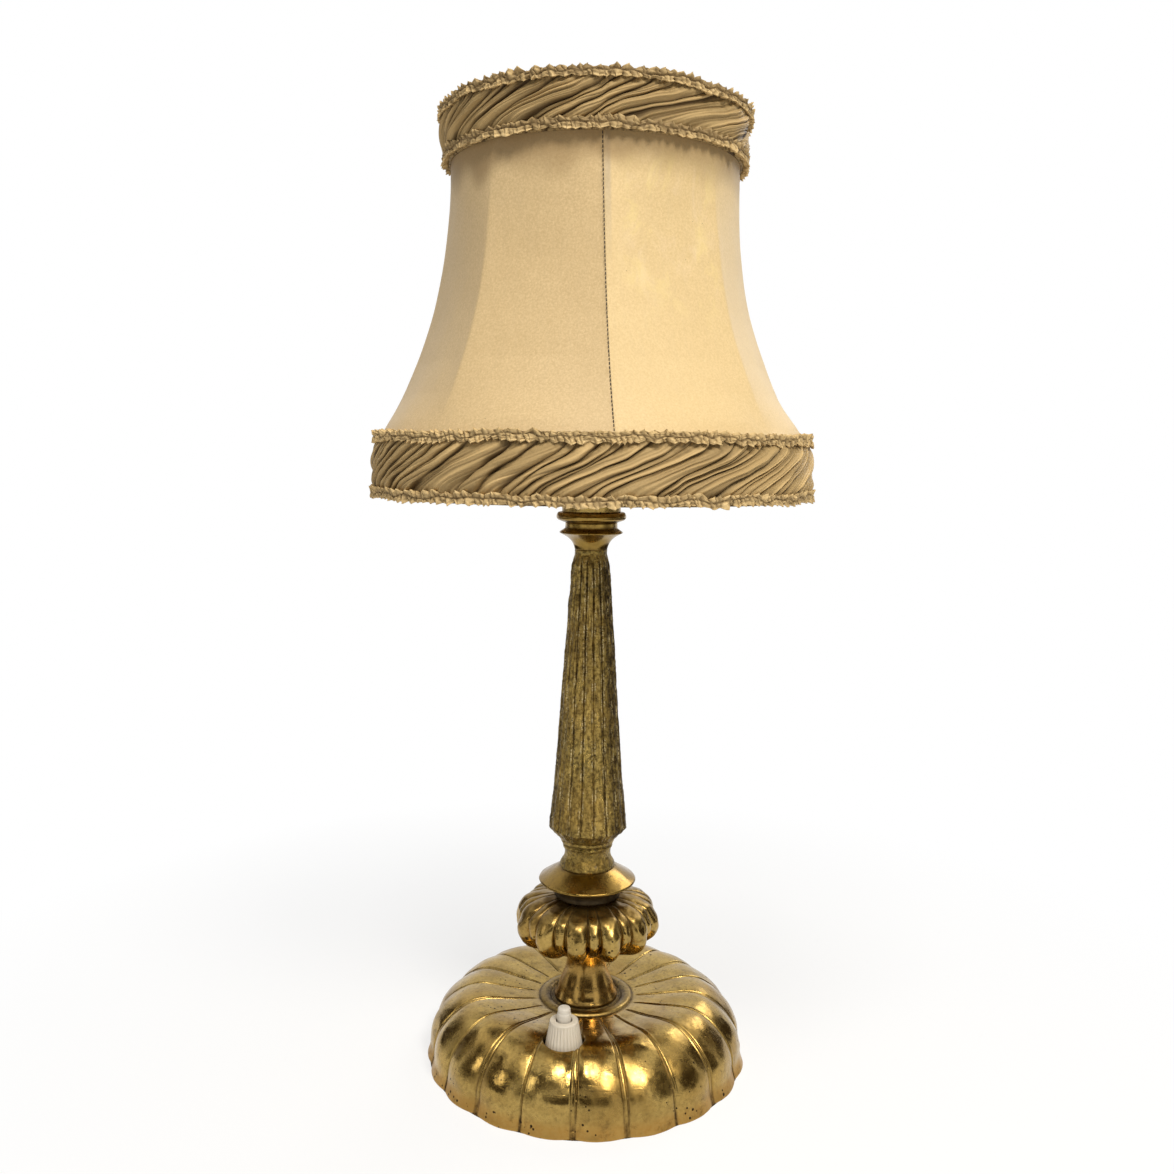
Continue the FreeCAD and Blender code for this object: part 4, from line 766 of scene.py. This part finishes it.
def switch():
    shift = (SWITCH_X, SWITCH_Y, 0)
    runs = chain((5.05, 26.0), (9.7, 26.0), (6.85, 41.9), ((6.7, 42.3), (6.4, 42.5)), (3.95, 42.5),
                 (3.95, 40.3), (5.05, 40.3))
    ring("collar_moulded", outline(*runs, step=0.5), 560, WHITE, "lamp",
         ("switch_collar",), flutes, shift)
    runs = chain((AXIS, 21.5), (3.35, 21.5), (3.35, 45.8), (3.1, 46.0), (3.05, 47.9),
                 ((2.7, 48.6), (2.1, 48.9), (AXIS, 49.1)))
    ring("button_moulded", outline(*runs, step=0.4), 96, GREY, "button",
         ("switch_plunger",), None, shift)


def spring():
    """Coil under the button, built at its rest length; the real one shortens as the button goes
    down.
    """
    turns, sides, wire, coil, low, high = 6, 8, 0.35, 2.75, 12.9, 21.1
    at = np.linspace(0, 2 * math.pi * turns, 36 * turns + 1)[:, None]
    section = -2 * math.pi * np.arange(sides)[None, :] / sides
    reach = coil + wire * np.cos(section)
    climb = low + (high - low) * at / at[-1] + wire * np.sin(section)
    across, along = SWITCH_X + reach * np.cos(at), SWITCH_Y + reach * np.sin(at)
    points = np.stack([across, along, climb], axis=-1)
    quads, _ = lattice(len(at), sides, False, True)
    end = np.array([(0, 1, 2, 3), (0, 3, 4, 7), (4, 5, 6, 7)])
    quads = np.concatenate([quads, end[:, ::-1], end + (len(at) - 1) * sides])
    piece = build("spring_wound", points, quads, None, STEEL, "lamp", ("switch_spring",))
    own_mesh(piece)


# -------- shade
def seam_lean(height):
    """Degrees by which the seams lean to one side at a height of the cover."""
    return 0.9 - 2.7 * height / COVER_HEIGHT


def cover_point(angle, rows):
    """Radius of the cover's outside over its height, for rows of (radius, height)."""
    place = ((angle - FIRST_RIB + RIB_STEP / 2) % RIB_STEP) - RIB_STEP / 2
    from_middle = RIB_STEP / 2 - np.sqrt(place ** 2 + 0.55 ** 2)
    chord = math.cos(math.radians(RIB_STEP / 2)) / np.cos(np.radians(from_middle))
    flat = np.interp(rows[:, 1], np.array(COVER_CREST)[:, 1], COVER_FLATNESS)[:, None]
    return rows[:, 0][:, None] * (1 - flat + flat * chord)


def cover_half(name, first, material, replaced):
    rows = spline(COVER_CREST, 0.9)
    width = np.linspace(0.0, 180.0, 420)[None, :]
    height = rows[:, 1][:, None] + np.zeros_like(width)
    angle = first + width + seam_lean(height)
    radius = cover_point(angle, rows)
    place = tuple(np.moveaxis(around(radius, angle, height), -1, 0))
    to_seam = np.minimum(width, 180.0 - width) * radius * math.pi / 180
    slack = 0.22 * waves(41, place, 45) + 0.05 * waves(42, place, 14)
    pucker = 0.1 * np.sin(height / 2.1 + waves(43, place, 20)) * hump(to_seam, 0, 4.0)
    hem = hump(to_seam, 0, 1.1) * 0.25
    radius = radius + (slack * ramp(0, 8, height) * ramp(128, 118, height) + pucker + hem)
    z = height + COVER_Z
    beside = width * radius * math.pi / 180
    strip = ramp(0.3, 0.7, beside) * ramp(3.4, 2.8, beside) * ramp(62, 118, height)
    # Painted shadow of the upper band on the top of the cover.
    painted_shadow = ramp(107, 123, height + 3.0 * waves(44, place, 18))
    worn = ramp(40, 75, height) * ramp(126, 112, height)
    worn = worn * ramp(5, 14, angle) * ramp(60, 40, angle)
    outer = around(radius, angle, z)
    inner = around(radius - COVER_CLOTH, angle, z)
    piece = shell(name, outer, inner, False, 290.0, material, "shade", (replaced,),
                  {"seam": strip, "worn": worn, "painted_shadow": painted_shadow})


def stitches():
    """Dark thread dashes along the two seams of the cover."""
    rows = spline(COVER_CREST, 0.25)
    run = run_lengths(rows)
    sides, _ = lattice(4, 4, False, True)
    dash = np.concatenate([sides, [(3, 2, 1, 0), (12, 13, 14, 15)]])
    points, quads = [], []
    for seam in (FIRST_RIB, FIRST_RIB + 180.0):
        for start in np.arange(2.0, run[-1] - 2.0, 1.9):
            quads.append(dash + len(points))
            for ahead, size in ((0, 0.6), (0.25, 1.0), (1.05, 1.0), (1.3, 0.6)):
                radius = np.interp(start + ahead, run, rows[:, 0]) + 0.32
                z = np.interp(start + ahead, run, rows[:, 1]) + COVER_Z
                lean = seam_lean(z - COVER_Z)
                for side, out in CORNERS:
                    spread = seam + lean - 0.12 + side * 0.19 * size / radius * 180 / math.pi
                    points.append(around(radius + out * 0.14 * size, np.array(spread), np.array(z)))
    quads = np.concatenate(quads)
    build("seam_stitches", np.array(points), quads, None, THREAD, "shade")


def fold_edges(rng, girth, count, spread):
    """Irregular edges of a whole number of folds round a ring, starting at 0."""
    widths = np.exp(rng.normal(0, spread, count))
    return np.concatenate([[0.0], np.cumsum(widths / widths.sum() * girth)])


def pleats(edges, s):
    """Each place's pleat and its share of the way across it."""
    girth = edges[-1]
    s = s % girth
    k = np.searchsorted(edges, s.ravel(), side="right") - 1
    k = np.clip(k, 0, len(edges) - 2).reshape(s.shape)
    return k, (s - edges[k]) / (edges[k + 1] - edges[k])


def band(name, low, high, z, height, seed, count, run, replaced):
    """Ruched strip of count folds, of radius low at its foot z and high at its top. The folds
    join random places at foot and top, and slant by run."""
    rng = np.random.default_rng(seed)
    mean = (low + high) / 2
    girth = 2 * math.pi * mean
    foot_edges = fold_edges(rng, girth, count, 0.8)
    other = fold_edges(rng, girth, count, 0.8)
    head_edges = foot_edges * 0.45 + other * 0.55
    foot_wide, head_wide = np.diff(foot_edges), np.diff(head_edges)
    steps = np.maximum(8, (np.maximum(foot_wide, head_wide) / 0.34).astype(int))
    fold = np.repeat(np.arange(count), steps)[None, :]
    share = np.concatenate([np.arange(number) / number for number in steps])[None, :]
    foot_s = foot_edges[fold] + share * foot_wide[fold]
    head_s = head_edges[fold] + share * head_wide[fold]
    rows = int(height / 0.5)
    h = np.linspace(0, 1, rows)[:, None] + np.zeros_like(foot_s)
    climb = h - 0.085 * np.sin(2 * math.pi * h)
    u = foot_s * (1 - climb) + head_s * climb
    s = u + run * climb
    place = tuple(np.moveaxis(around(mean, s / girth * 360, h * height), -1, 0))
    s = s + 1.5 * waves(seed + 5, place, 40) + 0.5 * waves(seed + 6, place, 12)

    wide = foot_wide[fold] * (1 - climb) + head_wide[fold] * climb
    bulk = np.clip(wide / (girth / count), 0.03, 1.25) ** 0.7
    bulk = bulk * rng.uniform(0.75, 1.15, count)[fold]
    peak = rng.uniform(0.52, 0.78, count)[fold]
    across = np.where(share < peak, share / peak * 0.5, 0.5 + (share - peak) / (1 - peak) * 0.5)
    ridge = np.sin(math.pi * across) ** 0.8
    turn = u / girth * 2 * math.pi
    along = (np.sin(turn) * mean, np.cos(turn) * mean, h * height * 0.13)
    crease = waves(seed + 8, along, 4.2) * 0.6 + waves(seed + 9, along, 2.0) * 0.4
    edge = np.minimum(h, 1 - h) * height
    free = ramp(1.8, 8.5, edge)
    near = ramp(7.0, 2.0, edge)
    _, gather = pleats(fold_edges(rng, girth, int(girth / 2.0), 0.5), s)
    gather = np.sin(math.pi * gather)
    out = (0.3 + 0.7 * free) * 2.5 * bulk * ridge
    out = out + (0.25 + 0.75 * free) * 0.5 * crease * np.clip(wide / 8.0, 0.1, 1.2)
    out = out + near * 0.8 * (gather - 0.5) + 0.2 * waves(seed + 7, place, 30)
    lean = (0.3 + 0.7 * free) * 0.9 * bulk * ridge * np.clip(across, 0, 0.75)
    base = low + (high - low) * h + 0.4 * np.sin(math.pi * h) - 1.25
    angle = (s + lean) / girth * 360
    outer = around(base + out, angle, z + h * height)
    inner = around(low + (high - low) * h - 2.1, angle, z + h * height)
    # lit is painted light and shade: painted shade in each fold's valley, widest under its steep
    # side, of uneven width and darkness, and painted shade in the gathers near the edges.
    drop = unit(0.5 + 0.55 * waves(seed + 10, along, 9) + 0.3 * waves(seed + 11, place, 16))
    under = ramp(1.0, 0.92 - 0.26 * drop, share)
    above = ramp(0.0, 0.05 + 0.12 * drop, share)
    lit = above * under + (1 - above * under) * 0.4 * (1 - drop)
    lit = lit * np.clip(0.84 + 0.3 * crease, 0.35, 1.0) * (1 - near * 0.65 * (1 - gather))
    lit = unit(lit * unit(0.25 + 0.85 * unit(wide / 7.0) ** 0.5))
    # Painted highlight along the tops of the wider folds.
    painted_highlight = ridge ** 3 * unit(0.55 + 0.45 * waves(seed + 12, along, 12))
    painted_highlight = painted_highlight * free * unit(wide / 6.0)
    piece = shell(name, outer, inner, True, girth, BAND, "shade", (replaced,),
                  {"ridge": lit, "painted_highlight": painted_highlight})


def frill(name, radius, z, half, seed, dim, replaced):
    """Narrow ribbon gathered on a line of stitches along its middle, so both its edges ruffle.
    half is half its width, and dim how much darker it is: painted shade, strongest on the upper
    row, while the lower edge keeps its painted highlight."""
    rng = np.random.default_rng(seed)
    girth = 2 * math.pi * radius
    columns = int(girth / 0.22)
    count = 27
    v, s = np.meshgrid(np.linspace(-1, 1, count), np.linspace(0, girth, columns, endpoint=False),
                       indexing="ij")
    turn = s / girth * 2 * math.pi
    place = (radius * np.sin(turn), radius * np.cos(turn), np.zeros_like(s))
    split = v - 0.38 * (1 - v ** 2) * waves(seed + 9, place, 9)
    lobe = np.abs(split)
    upper = split > 0
    slant = s + 0.8 * v + 0.6 * waves(seed + 6, place, 6)
    total = int(girth / 2.7)
    rows = [pleats(fold_edges(rng, girth, total, 0.32), slant) for _ in range(2)]
    share = np.where(upper, rows[0][1], rows[1][1])
    tall = rng.uniform(0.45, 1.0, (2, total))
    tall = np.where(upper, tall[0][rows[0][0]], tall[1][rows[1][0]])
    small = np.sin(math.pi * share) ** 0.6 * tall
    high, low = (pleats(fold_edges(rng, girth, int(girth / 4.8), 0.35), s) for _ in range(2))
    deep = rng.uniform(0.5, 1.3, (2, int(girth / 4.8)))
    wave = 2 * math.pi * np.where(upper, high[1], low[1])
    ruffle = np.sin(wave) * np.where(upper, deep[0][high[0]], deep[1][low[0]])
    slow = np.where(upper, waves(seed + 2, place, 10), waves(seed + 3, place, 10))
    crumple = waves(seed + 4, (place[0], place[1], v * 5), 2.6)
    gathered = ramp(0.03, 0.3, lobe)
    outward = ramp(0.25, 1.0, lobe)
    stitch = 1 - ramp(0.06, 0.3, lobe)
    out = 1.05 * gathered * (small - 0.4) + 0.66 * outward * ruffle + 0.4 * lobe * slow
    out = out + 0.16 * crumple + 0.28 * np.sin(math.pi * unit(lobe * 1.15))
    out = out - 0.06 * stitch + 0.2 * outward
    swing = 0.45 * np.sin(2 * wave) * outward + 0.22 * crumple
    reach = v * half * (0.94 + 0.12 * small) + v * (0.62 * ruffle + 0.28 * slow)
    drift = 0.45 * waves(seed + 5, place, 20)
    angle = (s + swing) / girth * 360
    outer = around(radius + out, angle, z + reach + drift)
    rim = ramp(0.7, 0.95, lobe)
    inner = around(radius + (out - 0.5) * 0.6 * rim - 1.9 * (1 - rim), angle, z + reach + drift)
    # lit is painted light and shade: lighter on the crowns of the gathered lobes with painted shade
    # between them, a painted highlight along the edges, and painted shade along the stitched
    # middle.
    lit = 0.12 + 0.78 * small * (0.45 + 0.55 * gathered) + 0.2 * outward * ruffle
    lit = lit + 0.14 * slow * lobe + 0.08 * crumple + 0.44 * rim * (0.35 + 0.65 * small)
    lit = lit * (1 - 0.3 * stitch * unit(0.3 + 0.9 * waves(seed + 8, place, 6)))
    lit = np.clip(lit * np.where(upper, 1 - dim, 1 - 0.6 * dim * (1 - rim)), 0.02, 1)
    return shell(name, outer, inner, True, girth, TRIM, "shade", (replaced,),
                 {"ridge": lit})


def shade():
    cover_half("cover_right", FIRST_RIB, COVER_LIGHT, "shade_cover_right")
    cover_half("cover_left", FIRST_RIB + 180.0, COVER, "shade_cover_left")
    stitches()
    low_trims = [frill("braid_lower_bottom", 107.3, 291.95, 2.3, 101, 0.15, "trim_lower_bottom"),
                 frill("braid_lower_top", 105.9, 317.9, 2.3, 111, 0.0, "trim_lower_top")]
    high_trims = [frill("braid_upper_bottom", 72.1, 447.5, 2.2, 121, 0.5, "trim_upper_bottom"),
                  frill("braid_upper_top", 73.7, 467.3, 2.2, 131, 0.45, "trim_upper_top")]
    band("band_lower_ruched", 106.3, 104.6, 289.75, 30.1, 201, 82, 54.0,
         "band_lower")
    band("band_upper_ruched", 70.7, 72.6, 445.45, 24.1, 231, 40, 56.0,
         "band_upper")


# -------- stage, light and camera
def stage_plane(name, size, matrix, material):
    mesh = bpy.data.meshes.new(name)
    corners = [(x * size[0] / 2, y * size[1] / 2, 0) for x, y in CORNERS]
    mesh.from_pydata(corners, [], [(0, 1, 2, 3)])
    mesh.materials.append(material)
    plane = bpy.data.objects.new(name, mesh)
    plane.matrix_world = matrix
    bpy.context.scene.collection.objects.link(plane)
    return plane


def seen_rays(tree):
    """1 for camera, glossy and transmission rays."""
    path = tree.nodes.new("ShaderNodeLightPath")
    seen = path.outputs["Is Camera Ray"]
    for kind in ("Is Glossy Ray", "Is Transmission Ray"):
        larger = tree.nodes.new("ShaderNodeMath")
        larger.operation = "MAXIMUM"
        tree.links.new(seen, larger.inputs[0])
        tree.links.new(path.outputs[kind], larger.inputs[1])
        seen = larger.outputs[0]
    return seen


def mixed(tree, share, first, second, surface):
    """Sends two shaders, mixed by share, to a surface socket."""
    both = tree.nodes.new("ShaderNodeMixShader")
    for source, target in zip((share, first, second), both.inputs):
        tree.links.new(source, target)
    tree.links.new(both.outputs[0], surface)


def pale_floor():
    """Matt and shadowed near the lamp, plain white further off."""
    look = Look("pale_floor")
    look.tree.nodes.remove(look.shader)
    matt = look.fill(look.node("ShaderNodeBsdfDiffuse"), {"Color": (0.9, 0.9, 0.9, 1)})
    white = look.fill(look.node("ShaderNodeEmission"), {"Color": (1, 1, 1, 1)})
    off = look.node("ShaderNodeVectorMath", operation="LENGTH")
    look.link(look.object_space, off.inputs[0])
    plain = look.remap(off.outputs["Value"], 0.12, 0.42, 0.7, 1.0)
    share = look.times(seen_rays(look.tree), plain)
    mixed(look.tree, share, matt.outputs[0], white.outputs[0],
          look.tree.nodes["Material Output"].inputs["Surface"])
    return look.material


def dark_card():
    """Dull brown, which only reflections see."""
    look = Look("dark_card")
    look.tree.nodes.remove(look.shader)
    brown = look.fill(look.node("ShaderNodeEmission"), {"Color": (0.075, 0.06, 0.045, 1)})
    look.link(brown.outputs[0], look.tree.nodes["Material Output"].inputs["Surface"])
    return look.material


def facing(place):
    """At a place, turned to the middle of the lamp."""
    place = Vector(place)
    turn = (Vector((0, 0, 0.2)) - place).to_track_quat("-Z", "Y").to_matrix().to_4x4()
    return Matrix.Translation(place) @ turn


# Lamps are (name, place, size, watts, colour), cards (name, size, place), all in metres.
WORLD_LIGHT = 0.24
WARM_WHITE = (1.0, 0.97, 0.92)
LAMPS = (
    ("key_right", (0.62, -0.95, 1.5), (0.5, 0.5), 19.7, (1.0, 0.95, 0.86)),
    ("top_front", (-0.15, -0.6, 1.45), (0.45, 0.28), 8.0, WARM_WHITE),
    ("fill_left", (-1.15, -0.55, 0.75), (0.3, 0.6), 1.4, WARM_WHITE),
    ("back_right", (0.8, 0.9, 1.0), (0.6, 0.6), 4.0, WARM_WHITE))
CARDS = (
    ("card_over_front", (3.4, 1.5), (0.0, -1.3, 2.1)),
    ("card_behind_camera", (3.0, 1.2), (0.0, -2.4, 0.95)),
    ("card_left", (2.2, 2.4), (-2.1, -0.7, 1.0)),
    ("card_left_back", (1.2, 1.3), (-1.9, 1.15, 0.66)),
    ("card_right", (1.9, 2.4), (2.2, -0.6, 1.0)),
    ("card_right_back", (1.3, 1.6), (1.95, 1.15, 0.81)),
    ("card_over_back", (3.0, 1.0), (0.0, 1.15, 2.6)),
    ("card_over_top", (2.0, 1.6), (0.0, 0.1, 2.6)))
FLOOR_CARDS = (
    ("floor_card_right", (1.1, 1.9), (0.9, 0.45, 0.004)),
    ("floor_card_left", (0.8, 1.3), (-0.85, 0.35, 0.004)))


def studio_world():
    """Even light for the lamp, plain white where seen or mirrored."""
    world = bpy.data.worlds.new("studio")
    world.use_nodes = True
    tree = world.node_tree
    tree.nodes.clear()
    light = tree.nodes.new("ShaderNodeBackground")
    light.inputs["Color"].default_value = (*WARM_WHITE, 1)
    light.inputs["Strength"].default_value = WORLD_LIGHT
    white = tree.nodes.new("ShaderNodeBackground")
    white.inputs["Color"].default_value = (1, 1, 1, 1)
    out = tree.nodes.new("ShaderNodeOutputWorld")
    mixed(tree, seen_rays(tree), light.outputs[0], white.outputs[0], out.inputs["Surface"])
    return world


def room():
    scene = bpy.context.scene
    scene.view_settings.view_transform = "Standard"
    scene.world = studio_world()
    stage_plane("floor", (8.0, 8.0), Matrix.Identity(4), pale_floor())
    card = dark_card()
    stands = [(name, size, facing(place)) for name, size, place in CARDS]
    stands += [(name, size, Matrix.Translation(place)) for name, size, place in FLOOR_CARDS]
    for name, size, matrix in stands:
        plane = stage_plane(name, size, matrix, card)
        plane.visible_camera = plane.visible_diffuse = False
        plane.visible_shadow = plane.visible_transmission = False
    for name, place, size, energy, colour in LAMPS:
        data = bpy.data.lights.new(name, "AREA")
        data.shape = "RECTANGLE"
        data.size, data.size_y = size
        data.energy = energy
        data.color = colour
        lamp = bpy.data.objects.new(name, data)
        lamp.matrix_world = facing(place)
        scene.collection.objects.link(lamp)


FILM = 36.0
FOCAL_SHARE = 1106.6 / 1174
EYE = (-0.0018, -0.5508, 0.3121)
LOOKS_DOWN = 7.0
ROLL = 0.65


def camera():
    data = bpy.data.cameras.new("view")
    data.sensor_width = FILM
    data.lens = FILM * FOCAL_SHARE
    data.clip_start = 0.01
    eye = bpy.data.objects.new("view", data)
    pitch = Matrix.Rotation(math.radians(90.0 - LOOKS_DOWN), 4, "X")
    roll = Matrix.Rotation(math.radians(ROLL), 4, "Z")
    eye.matrix_world = Matrix.Translation(EYE) @ pitch @ roll
    bpy.context.scene.collection.objects.link(eye)
    bpy.context.scene.camera = eye


base_foot()
turned("spool_turned")
knop()
turned("cap_ring")
turned("dish_turned")
column()
turned("capital_turned")
turned("disc_turned")
turned("holder_cup_spun")
switch()
spring()
shade()
room()
camera()
